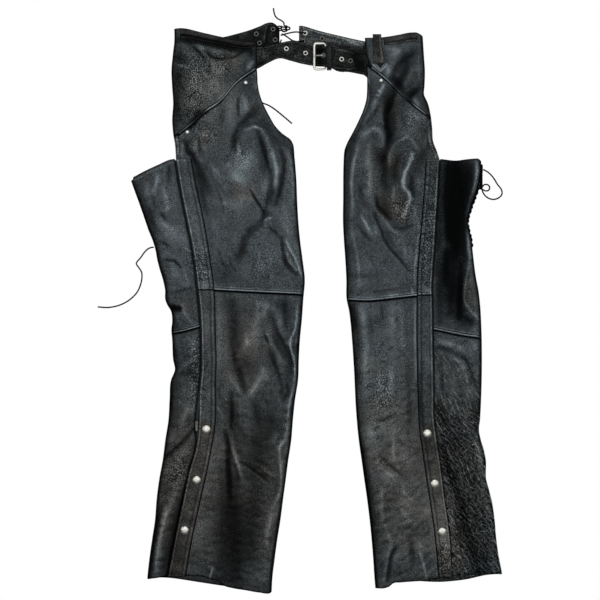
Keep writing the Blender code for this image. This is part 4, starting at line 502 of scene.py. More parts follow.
LEFT_LEG = Leg("left", side=1, seed=8, band_end=-33.3, edges="""
hip level x: 520 195, 494 196.6, 469 198.2, 435 200.2, 410 199.4, 394 198.6, 380 204.9, 358 210.5, 332 213.7,
306 215.9, 291 221.8, 275 227;
hip_edge level x: 520 88, 490 88.3, 475 89.4, 460 93.5, 449 97, 430 99;
crotch level x: 455 91.6, 437 91.6, 417 92.3, 400 92.3, 387 91.4, 365 85.3, 343 75.7, 321 64.6, 306 56.6,
291 50.9, 275 49.4;
fold level x: 275 304, 254 305, 217 298, 180 285, 162 280, 125 286, 51 295.6, 32 299.3, 14 301.6, -42 305,
-97 305.8, -171 304.3, -208 302.3, -227 300.4, -245 303.6, -264 309.3, -282 313, -319 313.8, -338 318.9,
-356 323.6, -393 329.3, -430 332.6, -467 338, -490 342.6, -525 346;
inseam level x: 275 49.4, 254 48.8, 199 48.5, 162 48.1, 125 49.8, 88 52.5, 51 54.4, 14 55.1, -5 59.2, -23 61.6,
-60 64.9, -116 68.6, -190 72.3, -245 77.3, -282 82.5, -319 87.7, -356 92.9, -393 97.5, -430 101.2, -467 104.2,
-504 106.7, -525 108.5;
placket_out level x: 275 226, 250 224.2, 226 223.1, 189 220.7, 134 217.4, 104 215.7, 82 214, 38 211.6, 6 212.4,
-42 213, -107 214.2, -151 215, -206 215.7, -235 219.2, -282 226.3, -319 231.3, -353 235.5, -390 240.9,
-441 246.4, -469 247.9, -499 249.6, -525 251.5;
placket_in level x: 275 201.5, 254 200.3, 217 198, 180 195, 162 193.5, 125 190.5, 51 185, 14 184.8, -42 184.4,
-116 185.5, -190 187.5, -227 189.5, -264 194.5, -319 202.6, -356 208.3, -430 218.5, -489 223.7, -525 226;
slit level back front zip: 275 2.2 -6.2 -2, -236 2.2 -6.2 -2, -252 1.4 -3.3 -1.6, -525 1.4 -3.3 -1.6;
pocket x level: 215 346.4, 208.3 351.7, 181.9 372.4, 156.1 394.2, 125.1 424.4, 97.1 446.6, 85 456.4;
waist across level: 0 501, 0.08 507.9, 0.19 508.9, 0.41 504.9, 0.7 500.2, 1 499;
knee across level: 0 22.5, 0.2 19.6, 0.5 14.6, 0.72 11.5, 1 13.2;
hem_front across level: 0 -500.5, 0.2 -502.1, 0.32 -505.5, 0.5 -507.3, 0.66 -509.1, 0.76 -510.8, 0.82 -517,
0.88 -519.7, 1 -520;
back_top across level: 0 286, 0.3 268, 0.66 266, 0.77 269.5, 0.84 274, 0.885 275.7, 0.913 274.4, 0.946 272.1,
1 274.9;
back_seam across level: 0 -45, 0.4 -56, 0.8 -60, 0.9 -55, 1 -41.5;
hem_back across level: 0 -514, 0.1 -507.6, 0.4 -509.3, 0.5 -505, 0.6 -497, 0.75 -495, 0.88 -491.7, 0.94 -491.7,
1 -498;
band_top across level: 0 497, 0.25 490, 0.42 491.5, 0.5 494.9, 0.66 503.3, 0.86 515, 0.955 521.8, 0.98 523,
1 522.6;
band_bottom across level: 0 271.5, 0.12 316, 0.3 385, 0.5 432, 0.8 464, 1 474;
waistband across depth: 0.04 15.5, 0.35 15, 0.655 14;
edge level height curl: 530 9 10, 425 8.6 14, 385 5.6 34, 330 5 34, 296 5.175 14, 280 5.175 8, -530 5.175 8
""", creases="""
yoke 6 .55 .8 386,48 398,51 390,57; 7 -1 -1.4 414,52 404,59 396,67 392,77; 5 .6 .8 384,64 388,70 387,77;
6 -1 -1.2 392,77 400,85 404,92; 5 .4 .8 413,68 407,79 402,88; 4.6 -1.1 -1.4 419,88 411,97;
4.8 .77 1 413,97 417,102 418,107; 4 .35 .5 418,58 419,78; 2.6 .4 .5 416,84 408,90 403,92;
5 -.4 0 425,104 428,114; 5 .3 0 410,44 402,47;
thigh 3 1.3 1.2 384,84 381,90 378,96; 4.2 .77 .9 376,99 372,107; 3 -.9 -1.2 379,106 373,115 367,123;
2.8 .51 .8 373,107 367,117 363,125; 5.6 -1.4 -2 395,92 390,104 386,113 387,125 389,134 387,146 384,160;
5 -.7 0 393,115 394,134; 10 .4 .8 408,110 412,132; 4.2 .42 .4 413,112 418,120; 3 -.4 -.6 403,118 406,127;
5 .6 1.2 360,135 367,132 375,128 380,132 384,139; 3 -.4 -.5 372,134 377,141; 5 .2 0 380,108 382,124;
3.9 .77 1.4 359,142 357,152 354,160 353,170 351,182 352,194 353,206 352,216;
3 .4 1 350,222 352,232 355,245 357,258 359,270 359,286; 6 .5 1 368,144 369,165 370,180 370,197;
4.4 .4 0 366,180 371,188; 5 -.5 -.6 360,184 362,198 366,206;
3.6 .5 1.2 391,151 394,145 399,141 405,138 412,139 416,145 419,151; 8 -.3 0 405,150 398,160;
4.5 1.36 2 413,154 408,166 405,172 403,180 404,187 409,193 410,199 408,206 403,217; 4 .7 .5 412,152 412,162;
3 .4 .5 427,135 424,147; 8 -.4 0 424,128 430,150; 4.2 -.8 -1.2 412,176 411,186 415,194;
4.2 .42 .4 418,175 419,188; 4 .5 .4 413,204 416,213; 8 -.9 -1.6 380,150 385,165 384,180 387,190;
6 -.7 -1 396,158 396,180; 3.1 .42 .8 389,154 389,166; 3.4 .59 .8 394,187 393,199; 9 .35 0 394,202 400,218;
3.6 -1 -1.2 376,195 378,206 384,212 391,219; 4.2 .42 1 371,201 378,212 386,222 394,232 402,236;
2.5 -.9 -1.4 374,214 380,226 384,238 390,248 397,256 403,263 409,271; 6 -.4 -.5 384,230 392,244 398,254;
4 -.6 -.6 392,226 402,229 411,226; 3.4 .4 .5 405,247 405,260; 2.7 .85 .6 418,236 417,250 415,266 415,284;
3.9 .94 1.2 361,215 365,222 368,228 372,235; 3.2 -.6 -.9 357,225 364,234 371,241; 4 .5 .4 375,225 376,237;
16 .2 .3 366,262 392,274; 3 -.3 -.5 366,252 376,268 378,284; 2.2 -.5 -.4 374,292 388,290 400,288;
4.2 .59 .3 388,296 398,295; 2.8 .77 .3 411,289 414,295; 5 -.5 0 374,276 350,276;
shin 7 -1 -.8 352,304 356,330; 8 -1.6 -1 358,436 365,490 370,540 374,584;
5.8 .4 1 361,308 364,326 366,346 365,372 365,402; 6 -.35 -.4 369,304 371,332; 2.6 -.5 -.6 381,303 383,321;
7.2 .32 .6 391,304 393,350; 5 .2 .4 401,308 403,350; 6 -.45 -.6 408,366 410,420 408,438;
2.4 .68 .5 415,300 415,340 416,380; 6.1 .34 .5 390,372 391,396; 5 .25 0 378,368 382,392;
4 -.6 -.9 378,422 388,419 395,416; 7 .34 .5 369,428 372,441; 4.6 .41 .9 393,439 394,463;
3 -.5 -.7 383,459 392,468 402,476; 5.8 .32 .7 375,454 378,466 386,472 393,478;
5.5 .41 1 383,488 382,508 384,527; 4 .35 .3 402,485 405,497; 5.2 .41 1 386,530 391,544 388,556 386,567 384,586;
3.6 -.7 -.9 397,546 391,560 388,582; 6 -.7 -.8 411,542 413,564; 3.9 .75 1 420,553 424,566 427,581;
4.5 .35 .3 419,544 425,551; 5 .3 .3 402,512 412,524; 4 -.3 -.4 398,440 404,446; 9 .15 0 404,448 414,480;
back 14 -2.6 -1.4 456,158 456,200 455,232 456,256; 7 -1.7 0 448,158 446,200 448,240;
8 -1.2 0 440,160 438,240 440,320; 8 -1.9 -.8 446,250 446,285; 6 -1.8 -1 461,262 460,292 459,318;
8 -1.2 -.4 454,262 453,300; 9 -.7 0 450,300 450,316;
3.4 1.27 2 477,159 477,172 475,186 472,196 469,206 467,214 467,224 468,236 469,248 470,259;
4.8 .42 0 468,222 470,250; 3.4 .77 1.6 469,262 467,276 465,286 464,300 468,308 474,315 479,320;
5 -1.1 -.8 464,316 472,322; 6.1 .47 .3 451,319 454,324; 5 .3 .3 474,326 476,333;
3 -.8 0 471,206 474,196 479,184; 5.5 -.8 -1.3 436,348 450,351 458,356 466,361 470,368 472,378 477,388;
6 .35 .6 452,353 462,363; 5.8 .4 .5 471,341 477,350; 5 .3 0 436,362 438,396; 6 .2 .3 453,378 457,400;
3 -.6 -.6 442,371 443,393; 3 -.5 -.5 446,394 450,411; 5 -.8 -.8 433,403 440,415 447,426;
6 -.5 0 475,400 476,426; 5.7 .41 .6 466,408 467,431;
6.5 -1.3 -2 440,438 446,460 452,478 457,492 463,508 467,524 471,542 476,560 478,576;
5.8 .48 .8 475,432 481,452 484,474 487,492; 7 .7 .6 447,478 452,508 452,540 461,560;
4 .3 .5 494,508 496,540 497,566; 5 -.5 -.4 486,545 486,572; 8 .3 0 462,440 474,470
""", shades="""
13 -.55 438,424 448,470 462,520 470,560; 9 .45 476,430 483,480 485,520; 7 .5 441,500 445,540 450,575;
8 .5 452,352 460,360 466,376; 12 -.5 437,400 447,416 452,430; 1.5 3 373,64.5 380,71.5 387,64.5;
70 -.2 400,150 405,210; 16 .35 378,46 398,46; 6 .8 374,63 382,66; 9 .6 376,70 379,78; 7 .9 394,62 390,74;
5 .6 386,41 402,39 416,37; 8 -1.4 408,60 405,72 400,82; 9 -1.5 402,82 392,90 387,100 386,109;
9 -1.5 414,86 410,94 411,100; 16 -.5 403,96 400,118; 10 -1.4 389,100 389,125 392,146; 14 -.3 398,142 402,168;
8 -.8 376,146 378,158 381,168; 7 -.8 391,166 392,186; 9 -.7 382,188 384,205 390,218 398,222;
9 -.9 425,144 421,158 416,174;
5.5 -.9 371,80 370,100 365,115 358,132 351,148 348,165 347,200 346,240 349,265 350,298;
6 -1 352,306 356,335 357,365 359,392; 6 -.5 359,400 361,430; 6 -1 363,446 368,475 372,500 375,525 378,554;
9 .5 413,108 420,117 430,115; 5 .5 431,112 432,140 435,158; 9 .4 400,135 411,134; 9 .5 361,137 367,138;
9 .4 363,160 365,172; 11 .5 362,194 369,196; 5 .5 405,152 407,158; 9 .5 414,212 418,230; 8 .5 426,178 427,194;
5 .7 436,184 437,202; 8 .6 428,216 429,230; 6 .6 435,220 435,242; 7 .5 426,240 425,272; 7 .8 438,250 440,264;
12 .5 396,240 406,240; 9 .4 393,246 396,252; 8 .4 409,248 411,262; 18 .35 358,276 366,290; 8 1 422,291 431,291;
9 -.5 374,200 379,216;
back 20 -1.6 453,158 453,320; 13 -2.8 468,160 468,180 466,200 463,212; 7 -1.5 464,212 464,240 466,262 465,276;
9 -1.3 447,284 449,302; 9 -1.2 461,286 461,318; 8 -1.1 460,322 474,324; 5 .8 478,162 477,184 474,200 471,210;
7 .9 469,224 472,286; 6 .5 477,296 479,336; 7 .8 440,342 452,344 466,350; 40 .2 455,345 458,400;
14 .4 474,342 470,398; 10 .7 445,398 450,408 458,414; 7 -.8 441,406 445,420; 6 1 437,424 438,440;
6 1.2 467,430 474,440 479,455 481,472; 7 -1.3 457,438 461,448; 7 -.6 451,440 456,455; 6 -.6 453,464 456,476;
7 1.1 482,478 486,495 490,510 492,530 493,550 494,572; 9 -.8 462,494 468,506; 9 -.8 459,514 463,532;
10 -.7 466,534 474,550; 9 -.9 476,546 481,576; 20 .6 454,550 466,574; 6 -.5 474,516 476,532;
strip 4 -1.2 420,374 420,400 422,426; 8 .5 426,344 427,366; 14 .5 434,450 437,482;
24 1 436,480 439,510 443,545 447,580; 6 .8 437,428 438,440; 12 .5 368,304 370,322; 14 .5 396,306 402,312;
9 .5 400,332 401,346; 40 .5 382,340 386,450; 10 .4 370,360 371,388; 9 .5 382,418 392,412 398,404;
9 .4 370,422 373,434; 9 .5 390,434 398,436; 50 .4 400,450 410,576; 8 .6 376,470 385,476 396,480;
14 .3 400,496 416,508; 8 .3 408,522 418,528
""", warm="""
22 1 384,196 402,218; 20 .8 386,150 394,180; 120 .75 390,390 415,560; 40 .35 470,400 480,560;
26 .7 446,520 450,575; 30 .3 445,350 462,390; 30 .3 362,140 372,200; 20 .6 394,96 390,120;
24 .7 426,130 430,150; 24 .6 472,280 474,310
""", grain="""
24 .5 430,170 428,230 422,284; 18 .7 398,200 404,220; 24 .4 384,370 382,410; 20 .4 412,110 416,130;
14 .8 444,545 446,575; 18 .4 408,152 410,164
""")
LEGS = (RIGHT_LEG, LEFT_LEG)


# ---------------------------------------------------------------- meshes and pieces

def place(points):
    """Table coordinates in millimetres as frame coordinates in metres, in one long list."""
    return (np.asarray(points, float) - (*CENTRE, 0)).reshape(-1, 3) * MM


def quad_mesh(name, verts, quads):
    """A mesh from places in metres and the four corners of each face, with the places that it uses."""
    used, corners = np.unique(quads, return_inverse=True)
    verts, quads = verts[used], corners.reshape(-1, 4)
    mesh = bpy.data.meshes.new(name)
    mesh.vertices.add(len(verts))
    mesh.vertices.foreach_set("co", np.ascontiguousarray(verts, dtype=np.float32).ravel())
    mesh.loops.add(quads.size)
    mesh.loops.foreach_set("vertex_index", quads.astype(np.int32).ravel())
    mesh.polygons.add(len(quads))
    mesh.polygons.foreach_set("loop_start", np.arange(0, quads.size, 4, dtype=np.int32))
    mesh.update(calc_edges=True)
    mesh.validate()
    mesh.shade_smooth()
    return mesh, used


def grid_quads(lines, columns, around=False, along=False):
    """Corners of the cells of a grid, closed across its columns or along its lines where asked."""
    index = np.arange(lines * columns).reshape(lines, columns)
    if around:
        index = np.concatenate([index, index[:, :1]], axis=1)
    if along:
        index = np.concatenate([index, index[:1]], axis=0)
    return joined(index[:-1, :-1], index[1:, :-1], index[1:, 1:], index[:-1, 1:])


def tidy_faces(mesh, close_ends=False):
    """Merges doubled places, closes open ends where asked, and turns all faces outwards."""
    bm = bmesh.new()
    bm.from_mesh(mesh)
    if close_ends:
        bmesh.ops.holes_fill(bm, edges=[e for e in bm.edges if e.is_boundary], sides=0)
    bmesh.ops.remove_doubles(bm, verts=bm.verts, dist=1e-6)
    bmesh.ops.recalc_face_normals(bm, faces=bm.faces)
    bm.to_mesh(mesh)
    bm.free()
    mesh.shade_smooth()


def new_object(name, data, look=None):
    """An object in the scene, with a finish where one is named."""
    made = bpy.data.objects.new(name, data)
    bpy.context.scene.collection.objects.link(made)
    if look:
        data.materials.append(finish(look))
    return made


def add_piece(name, data, look, slot=None, node=None):
    """A visible piece that rides on the garment and stands for a node."""
    piece = new_object(name, data, look)
    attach(piece, "garment")
    if node:
        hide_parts(node)
    return piece


def paint_attribute(mesh, name, values):
    """A number at every vertex, which the finish reads."""
    values = np.asarray(values, np.float32).ravel()
    mesh.attributes.new(name, "FLOAT", "POINT").data.foreach_set("value", values)


def leather(node, points, look, slot=None, wall=WALL, keep=None, held=None, polish=0.2, warmth=0.3, grain=0.4):
    """The piece that stands for a leather node: a grid of its middle surface with half the wall on each
    side. Where held is given, the sheet's longest runs and its area are worked out but not used."""
    quads = grid_quads(*points.shape[:2])
    mesh, used = quad_mesh(f"look_{node}", place(points), quads if keep is None else quads[keep])
    for attribute, values in (("polish", polish), ("warmth", warmth), ("grain", grain)):
        paint_attribute(mesh, attribute, np.broadcast_to(values, points.shape[:2]).reshape(-1)[used])
    slot = slot or ("back" if look == "crackled" else look) + "_leather"
    piece = add_piece(mesh.name, mesh, look, slot, node)
    solid = piece.modifiers.new("wall", "SOLIDIFY")
    solid.thickness, solid.offset, solid.use_even_offset = wall * MM, 0.0, False
    if held:
        area = sum(face.area for face in mesh.polygons)
        wide, long = (float(np.linalg.norm(np.diff(points, axis=way), axis=2).sum(axis=way).max() * MM)
                      for way in (1, 0))
        long = min(long, area / wide / 0.35)
        min(area, wide * long)
    return piece


def rings(node, points, look, slot, closed):
    """Rings of points joined into a tube, closed on itself or capped at its two ends."""
    mesh, _ = quad_mesh(f"look_{node}", place(points), grid_quads(*points.shape[:2], around=True, along=closed))
    tidy_faces(mesh, close_ends=not closed)
    return add_piece(mesh.name, mesh, look, slot, node)


def axes(ahead):
    """Directions ahead, sideways and up of a course that never stands upright, from its runs."""
    ahead = ahead / np.linalg.norm(ahead, axis=1)[:, None]
    side = np.cross(ahead, (0.0, 0.0, 1.0))
    side /= np.linalg.norm(side, axis=1)[:, None]
    return ahead, side, np.cross(side, ahead)


def tube(node, course, outline, look, slot=None, closed=False):
    """An outline of (sideways, up) points, the same all along or one for each place, carried along a course."""
    ahead = np.roll(course, -1, axis=0) - np.roll(course, 1, axis=0)
    if not closed:
        ahead[0], ahead[-1] = course[1] - course[0], course[-1] - course[-2]
    _, side, up = axes(ahead)
    outline = np.asarray(outline, float)
    points = course[:, None] + side[:, None] * outline[..., :1] + up[:, None] * outline[..., 1:]
    return rings(node, points, look, slot, closed)


def circle(radius, sides):
    turn = np.linspace(0, 2 * math.pi, sides, endpoint=False)
    return radius * joined(np.cos(turn), np.sin(turn))


def turned_piece(node, x, y, z, profile, look, tilt=0.0, sides=32):
    """A metal piece: a profile of (radius, height) turned about an upright line through x, y, which leans by
    tilt."""
    profile = rows(profile)
    flat = profile[:, :1, None] * circle(1.0, sides)
    px, py, pz = flat[..., 0], flat[..., 1], profile[:, 1:]
    points = joined(x + px * math.cos(tilt) + pz * math.sin(tilt), y + py,
                    z - px * math.sin(tilt) + pz * math.cos(tilt))
    return rings(node, points, look, "nickel", bool(profile[0, 0] > 0))


# ---------------------------------------------------------------- materials

class Wire:
    """A socket of a material that takes part in sums."""

    def __init__(self, paint, socket):
        self.paint, self.socket = paint, socket

    def __add__(self, other):
        return self.paint.sum("ADD", self, other)

    def __sub__(self, other):
        return self.paint.sum("SUBTRACT", self, other)

    def __rsub__(self, other):
        return self.paint.sum("SUBTRACT", other, self)

    def __mul__(self, other):
        return self.paint.sum("MULTIPLY", self, other)

    __radd__, __rmul__ = __add__, __mul__


class Paint:
    """A material and the nodes that it is made of."""

    def __init__(self, name):
        self.material = bpy.data.materials.new(name)
        self.material.use_nodes = True
        self.tree = self.material.node_tree
        self.shader = self.tree.nodes["Principled BSDF"]

    def node(self, kind, settings, values, out=0):
        """A node of a kind with its settings, then the values or links of its sockets."""
        made = self.tree.nodes.new(kind)
        for key, value in settings.items():
            setattr(made, key, value)
        for key, value in values.items():
            self.join(made.inputs[key], value)
        return Wire(self, made.outputs[out])

    def join(self, socket, value):
        if isinstance(value, Wire):
            self.tree.links.new(value.socket, socket)
        else:
            socket.default_value = value

    def sum(self, kind, *values):
        return self.node("ShaderNodeMath", {"operation": kind}, dict(enumerate(values)))

    def here(self):
        return self.node("ShaderNodeTexCoord", {}, {}, "Object")

    def moved(self, vector, scale=(1, 1, 1), turn=0.0):
        return self.node("ShaderNodeMapping", {}, {
            "Vector": vector, "Scale": scale, "Rotation": (0.0, 0.0, turn)})

    def noise(self, vector, scale, detail=2.0, rough=0.5, warp=0.0, out="Fac"):
        return self.node("ShaderNodeTexNoise", {}, {
            "Vector": vector, "Scale": scale, "Detail": detail, "Roughness": rough, "Distortion": warp}, out)

    def cells(self, vector, scale, flat=False):
        """Distance to the nearest wall between cells, whose walls stand upright where flat is set."""
        kind = {"feature": "DISTANCE_TO_EDGE", "voronoi_dimensions": "2D" if flat else "3D"}
        return self.node("ShaderNodeTexVoronoi", kind, {"Vector": vector, "Scale": scale}, "Distance")

    def waves(self, vector, scale, bend):
        """Crests at 1 and troughs at 0 that run along Y, bent by noise."""
        return self.node("ShaderNodeTexWave", {"bands_direction": "X"}, {
            "Vector": vector, "Scale": scale, "Distortion": bend, "Detail": 2.0, "Detail Scale": 0.6}, "Fac")

    def step(self, value, low, high):
        """A soft step from 0 at low to 1 at high, which may run downwards."""
        ends = (low, high, 0.0, 1.0) if low < high else (high, low, 1.0, 0.0)
        return self.node("ShaderNodeMapRange", {"interpolation_type": "SMOOTHSTEP"}, {
            "Value": value, **dict(zip(("From Min", "From Max", "To Min", "To Max"), ends))})

    def blend(self, part, first, second):
        """Two colours mixed by a fraction."""
        made = self.tree.nodes.new("ShaderNodeMix")
        made.data_type = "RGBA"
        for socket, value in zip((0, 6, 7), (part, (*first, 1.0), (*second, 1.0))):
            self.join(made.inputs[socket], value)
        return Wire(self, made.outputs[2])

    def offset(self, vector, push, by):
        """A vector moved by a colour field, centred on no move."""
        centred = self.node("ShaderNodeVectorMath", {"operation": "SUBTRACT"}, {0: push, 1: (0.5, 0.5, 0.5)})
        scaled = self.node("ShaderNodeVectorMath", {"operation": "SCALE"}, {0: centred, "Scale": by})
        return self.node("ShaderNodeVectorMath", {"operation": "ADD"}, {0: vector, 1: scaled})

    def bump(self, strength, distance, height):
        return self.node("ShaderNodeBump", {}, {"Strength": strength, "Distance": distance, "Height": height})

    def finish(self, **values):
        """Sets the shader's own sockets, named with underscores for spaces."""
        for key, value in values.items():
            self.join(self.shader.inputs[key.replace("_", " ")], value)
        return self.material


def leather_finish(name, level, rough, pebble, depth, wrinkle, crackle=False):
    """Black leather: a dull skin, and over it a polished one that shows as much as the piece's polish says;
    that polish holds painted light and shade as well as real gloss. Pebbles are cells with rounded tops, under
    finer pores. Slow noise gives wrinkles and mottling; pebbles, wrinkles and speckle also raise and lower the
    shine, painted light and shade of the grain besides its bump. Crackle adds raised crests that run down
    towards the outer edge, with a fine net between, and paints the crests brighter, a painted highlight."""
    looks = bpy.context.scene.chaps
    paint = Paint(name)
    here = paint.here()
    attribute = lambda key: paint.node("ShaderNodeAttribute", {"attribute_name": key}, {}, "Fac")
    polish, warmth, grain = attribute("polish"), attribute("warmth"), attribute("grain")
    bent = paint.offset(here, paint.noise(here, 210.0, out="Color"), 0.0022)
    bead = paint.step(paint.cells(bent, 1.0 / (looks.pebble * pebble)), 0.0, 0.22)
    pores = paint.noise(here, 1500.0, 2.0, 0.6)
    rumple = paint.noise(paint.moved(here, (1.0, 0.7, 1.0), 0.5), 150.0, 3.0, 0.6, 0.8)
    speckle = paint.noise(here, 330.0, 2.0, 0.7)
    height = bead * grain * 0.7 + pores * 0.15 + rumple * wrinkle * 2.0 + speckle * 0.5
    # Painted light and shade of the grain and wrinkles: this pattern scales the shine
    pattern = ((rumple - 0.5) * (0.6 + wrinkle * 4.5) + (speckle - 0.5) * (0.8 + grain * 1.1)
               + (bead - 0.75) * grain * 2.4)
    shine = (polish + level) * paint.sum("EXPONENT", pattern)
    if crackle:
        where = attribute("crackle")
        pushed = paint.offset(here, paint.noise(here, 70.0, out="Color"), 0.008)
        lie = paint.moved(paint.moved(here, turn=1.08), (0.4, 1.0, 1.0))
        hollow = paint.step(paint.noise(lie, 85.0, 3.0, 0.6, 0.6), 0.40, 0.60)
        shine = shine * (1.0 - where * 0.88)
        folds = ((paint.waves(paint.moved(here, turn=-0.49), 34.0, 10.0), 0.80, 0.99, 0.0, where * 2.6),
                 (paint.waves(paint.moved(here, turn=-0.95), 52.0, 11.0), 0.82, 0.99, 0.5, where * 1.4),
                 (paint.waves(paint.moved(here, turn=0.9), 50.0, 11.0), 0.84, 0.99, 0.8, where * 0.7),
                 (paint.cells(pushed, 300.0, True), 0.20, 0.0, 1.2, 0.95))
        for field, low, high, shift, share in folds:
            apart = paint.moved(here, (1.0 + shift, 1.0, 1.0), shift)
            patchy = paint.step(paint.noise(apart, 95.0, 2.0, 0.6), 0.42, 0.58)
            crest = paint.step(field, low, high) * patchy * where * (hollow * 0.95 + 0.2)
            height = height + crest * 1.2 * share
            # Painted highlight: the crests are made brighter as well as raised
            shine = shine + crest * (polish * 3.6 + 0.24) * share
    bump = paint.bump(1.0, looks.grain_depth * depth, height)
    skins = [paint.node("ShaderNodeBsdfPrincipled", {}, {
        "Base Color": (*colour, 1.0), "Specular Tint": (*tint, 1.0), "IOR": 3.0, "Normal": bump,
        "Roughness": rough + (1.0 - bead) * 0.10})
        for colour, tint in ((looks.cool_colour, looks.cool_shine), (looks.warm_colour, looks.warm_shine))]
    polished = paint.node("ShaderNodeMixShader", {}, {0: warmth, 1: skins[0], 2: skins[1]})
    paint.finish(Base_Color=(*looks.skin_colour, 1.0), Roughness=0.55, Specular_IOR_Level=0.012, Normal=bump)
    dull = Wire(paint, paint.shader.outputs[0])
    both = paint.node("ShaderNodeMixShader", {}, {0: shine, 1: dull, 2: polished})
    paint.join(paint.tree.nodes["Material Output"].inputs["Surface"], both)
    return paint.material


def thread_finish(name, colour):
    """Waxed thread: two plies wound round each other, as slanting bands."""
    paint = Paint(name)
    ply = paint.node("ShaderNodeTexWave", {"wave_type": "BANDS", "bands_direction": "DIAGONAL"}, {
        "Vector": paint.here(), "Scale": 900.0, "Distortion": 1.0})
    bump = paint.bump(0.6, 0.0002, ply)
    return paint.finish(Base_Color=paint.blend(ply, [c * 0.5 for c in colour], colour), Roughness=0.55,
                        Normal=bump)


def metal_finish(name, colour, rough):
    """Bright nickel plate with fine scratches, and darker, rougher patches that are partly tarnish and partly
    painted dark reflections.
    """
    paint = Paint(name)
    here = paint.here()
    scratches = paint.noise(paint.moved(here, (1.0, 9.0, 1.0), 0.7), 900.0, 3.0, 0.7)
    tarnish_and_dark_reflection = paint.step(paint.noise(here, 330.0, 3.0, 0.6), 0.48, 0.70)
    bump = paint.bump(0.25, 0.0001, scratches)
    return paint.finish(Base_Color=paint.blend(tarnish_and_dark_reflection * 0.5, colour, [c * 0.45 for c in colour]), Metallic=1.0,
                        Roughness=rough + tarnish_and_dark_reflection * 0.1, Normal=bump)


def tape_finish(name):
    """Woven tape: a fine check of threads."""
    paint = Paint(name)
    here = paint.here()
    check, weave = (paint.node("ShaderNodeTexChecker", {}, {
        "Vector": here, "Color1": (*first, 1), "Color2": (*second, 1), "Scale": 1300.0}, out)
        for first, second, out in (((0.006, 0.006, 0.006), (0.014, 0.014, 0.015), "Color"),
                                   ((0, 0, 0), (1, 1, 1), "Fac")))
    return paint.finish(Base_Color=check, Roughness=0.8, Normal=paint.bump(0.5, 0.0002, weave))


# Polish everywhere, roughness, size and depth of the grain as shares of the panel's, and wrinkles
LEATHERS = {
    "front": (0.0, 0.32, 1.0, 1.0, 0.10), "yoke": (0.0, 0.34, 0.72, 1.4, 0.22),
    "back": (0.0, 0.34, 1.0, 1.1, 0.16), "crackled": (0.0, 0.28, 1.0, 1.5, 0.16, True),
    "strip": (0.0, 0.34, 0.9, 1.2, 0.14), "belt": (0.0, 0.36, 0.8, 1.3, 0.35),
    "lace": (0.04, 0.45, 0.6, 0.4, 0.2),
}
# The zip's teeth are dark gunmetal, dark enough to stand for the shade in the slit too: partly painted shade
METALS = {"dull_metal": ((0.22, 0.21, 0.19), 0.45), "zip_teeth": ((0.05, 0.05, 0.052), 0.35)}
NICKEL_ROUGH = 0.42
THREAD = (0.035, 0.036, 0.038)
FINISHES = {}


def finish(name):
    """The named finish, made when it is first asked for from the panel's colours and sizes."""
    if name not in FINISHES:
        if name in LEATHERS:
            made = leather_finish(f"{name}_leather_look", *LEATHERS[name])
        elif name == "waxed_thread":
            made = thread_finish(name, THREAD)
        elif name == "zip_tape":
            made = tape_finish(f"{name}_look")
        else:
            metal = METALS.get(name, (tuple(bpy.context.scene.chaps.metal_colour), NICKEL_ROUGH))
            made = metal_finish(f"{name}_look", *metal)
        FINISHES[name] = made
    return FINISHES[name]


# ---------------------------------------------------------------- laces

# Where each lace goes, in mm, and what is on its far end
LACES = {
    "waist_lace_up": ("bare", """
        -60.7 522.6 3, -61.4 528.2 2, -66.2 532.4 1.6, -71.8 535.2 1.5, -77.4 540.9 1.5, -79.9 548.9 1.5,
        -80.7 555.4 1.5"""),
    "waist_lace_down": ("bare", """
        -66 496.4 5.2, -69 488 3.3, -74 476 3.3, -92 462 3.3, -110 450 3.3, -119 436 2.4, -124 420 1.5,
        -121 400 1.5, -112 385 1.5, -98.6 378.4 1.5, -90.7 375.4 1.5, -82.5 370.6 1.5, -66.4 358.2 1.5,
        -56.4 349.8 1.5, -46.3 341.1 1.5"""),
    "waist_lacing_long": ("object", """
        -67.4 504.6 1.6, -62.9 506.2 1.6, -53.7 508.6 1.8, -45 510.4 2.6, -38.9 510.8 3.4, -31.5 509.9 4.4,
        -26 509 5, -22.4 508.8 4.4"""),
    "waist_lacing_short": ("object", """
        -65.6 507 5.2, -58.1 503.4 5, -50 497.7 3.8, -44.4 494.6 3.2, -37.5 493 3.2, -34 493.2 3.5,
        -31 493.8 4.6, -26.2 493.8 4.9"""),
    "right_thigh_lace": ("bare", """
        -303 111.4 3.6, -306.8 111.3 2, -312.5 109.2 1.5, -317.7 104.9 1.5, -327.3 92.1 1.5, -335.2 81 1.5,
        -330 73.1 1.5, -325.2 64.6 1.5, -324.7 58.3 1.5, -327.3 42.4 1.5, -333.6 28.5 1.5, -344.3 16.8 1.5,
        -359.1 7.2 1.5, -373.9 1.9 1.5, -388.9 -0.2 1.5, -406.8 0.9 1.5"""),
    "left_thigh_lace": ("object", """
        308.6 255.8 2.8, 318.8 249.8 1.8, 326.5 241.8 1.5, 335.6 227.5 1.5, 342.6 218 1.5, 343.6 210.7 1.5,
        337.5 203.4 1.5, 327.8 200.4 1.5, 318.8 202.4 1.5, 311 208.7 1.5, 307.6 214.6 1.5, 306.4 219 2.6"""),
    "left_thigh_lacing": ("object", """
        309 217.4 5, 313.4 215.8 4.2, 318.2 217.2 3.4, 320.4 221.8 3.6, 318 226.4 4.4, 313.6 228 5.4,
        308.8 226.6 8.4, 305.6 222.6 9.8"""),
}
WAIST_KNOT = (-62.3, 516.9, 6.3)
KNOT_SCALE = (4.1, 2.0, 2.9)
# Two runs of the thigh's lacing: levels of its ends, turns at its ends, and how far out it is drawn
THIGH_LACING = ((264.0, 219.0, 0.0, 10.25, 306.0), (220.2, 112.0, 0.75, 7.0, 0.0))
LACING_REACH = (1.6, 8.2)


